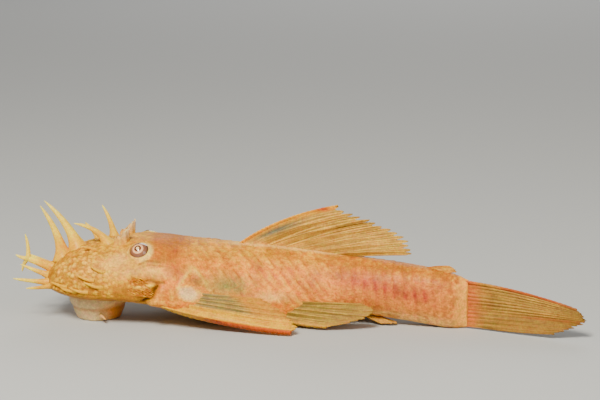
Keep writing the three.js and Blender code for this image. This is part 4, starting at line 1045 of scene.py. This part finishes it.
# Breast fins, spread back along the floor
PECTORAL = (
    ((28.4, 12.9, 5.2), (60.2, 18.4, 0.9), (0, 2.2, -1.7)),
    ((29.4, 13.1, 5.9), (61.8, 16.8, 1.7), (0, 2.0, -0.9)),
    ((30.4, 13.1, 6.6), (60.2, 15.9, 3.0), (0, 1.9, -0.5)),
    ((31.4, 13.0, 7.2), (58.4, 15.0, 4.3), (0, 1.7, -0.3)),
    ((32.2, 13.1, 7.7), (56.4, 14.3, 5.4), (0, 1.5, 0)),
    ((33.0, 13.1, 8.2), (54.2, 13.7, 6.5), (0, 1.3, 0.1)),
    ((33.8, 13.0, 8.6), (52.0, 13.2, 7.4), (0, 1.2, 0.2)),
)
PELVIC = (
    ((51.6, 8.2, 2.2), (67.6, 11.6, 0.9), (0, 1.4, -0.6)),
    ((52.4, 8.4, 3.0), (72.2, 11.0, 1.7), (0, 1.3, -0.3)),
    ((53.2, 8.6, 3.8), (76.0, 10.1, 2.7), (0, 1.2, -0.1)),
    ((54.0, 8.7, 4.6), (78.4, 9.2, 3.8), (0, 1.1, 0)),
    ((54.8, 8.8, 5.3), (78.6, 8.5, 4.9), (0, 1.0, 0.1)),
    ((55.6, 8.8, 6.0), (75.8, 8.3, 6.0), (0, 1.0, 0.2)),
)


def on_side(rays, which):
    return [tuple((s, out * which, z) for s, out, z in ray) for ray in rays]


for which, word in ((1, "left"), (-1, "right")):
    breast = fin_sheet("breast_fin_" + word, on_side(PECTORAL, which), 180, 110, 1.0, 0.26, 0.12, 0.03)
    finish_fin(breast, "pectoral_fin_" + word, (0.22, 0.155, 0.045), (0.46, 0.28, 0.06), (0.66, 0.3, 0.02), (
        (lambda r, t, ridge: 0.85 * smooth(0.62, 0.8, t + 0.02 * r), (0.58, 0.24, 0.006)),
        (lambda r, t, ridge: 0.95 * (1 - smooth(1.7, 2.4, r)), (0.72, 0.36, 0.001)),
        (lambda r, t, ridge: 0.95 * (1 - smooth(0.2, 0.5, r)) * smooth(0.2, 0.42, t), (0.48, 0.065, 0.005)),
    ))
    belly_fin = fin_sheet("belly_fin_" + word, on_side(PELVIC, which), 150, 90, 0.6, 0.22, 0.12, 0.025)
    finish_fin(belly_fin, "pelvic_fin_" + word, (0.24, 0.145, 0.02), (0.44, 0.255, 0.04), (0.52, 0.25, 0.03), (
        (lambda r, t, ridge: 0.8 * (1 - smooth(0.2, 1.0, r)), (0.6, 0.29, 0.015)),
        (lambda r, t, ridge: 0.4 * smooth(0.7, 1.0, t), (0.44, 0.2, 0.02)),
    ))

# Vent fin, laid back along the belly
ANAL = (
    ((71.4, 0.4, 3.4), (79.6, 3.9, 0.55), (0, 0.6, -0.5)),
    ((72.4, 0.3, 3.4), (81.6, 3.6, 0.6), (0, 0.5, -0.5)),
    ((73.4, 0.2, 3.4), (82.8, 3.0, 0.62), (0, 0.3, -0.6)),
    ((74.4, 0.1, 3.3), (82.8, 2.2, 0.62), (0, 0, -0.8)),
)
anal = fin_sheet("vent_fin", ANAL, 60, 50, 0.35, 0.22, 0.12, 0.04, ripple=0.05)
finish_fin(anal, "anal_fin", (0.45, 0.21, 0.03), (0.52, 0.26, 0.045), (0.5, 0.2, 0.02))


# The stage: a plain pale floor and soft studio light. A large lamp above and in front gives most of it, as the
# picture's flash does, with a weaker one from each side.
bpy.ops.object.select_all(action="DESELECT")
bpy.ops.mesh.primitive_plane_add(size=8)
ground = bpy.context.object
ground.name = "floor"
pale = bpy.data.materials.new("pale floor")
pale.use_nodes = True
pale.node_tree.nodes["Principled BSDF"].inputs["Base Color"].default_value = (0.52, 0.55, 0.6, 1)
pale.node_tree.nodes["Principled BSDF"].inputs["Roughness"].default_value = 0.8
ground.data.materials.append(pale)


def lamp(name, spot_at, aim, size, power, colour):
    light = bpy.data.lights.new(name, "AREA")
    light.shape = "DISK"
    light.size = size
    light.energy = power
    light.color = colour
    holder = bpy.data.objects.new(name, light)
    bpy.context.collection.objects.link(holder)
    holder.location = spot_at
    holder.rotation_euler = (Vector(aim) - Vector(spot_at)).to_track_quat("-Z", "Y").to_euler()


lamp("key", (-0.15, -0.5, 0.5), (0, 0, 0.01), 0.22, 8.8, (1.0, 0.92, 0.73))
lamp("fill", (0.6, -0.5, 0.35), (0, 0, 0.01), 0.5, 1.6, (1.0, 0.94, 0.8))
lamp("back", (0.1, 1.4, 0.75), (0, 0, 0.01), 0.8, 5.5, (1.0, 0.95, 0.85))
world = bpy.data.worlds.new("studio")
world.use_nodes = True
world.node_tree.nodes["Background"].inputs["Color"].default_value = (1.0, 0.96, 0.88, 1)
world.node_tree.nodes["Background"].inputs["Strength"].default_value = 0.25
bpy.context.scene.world = world
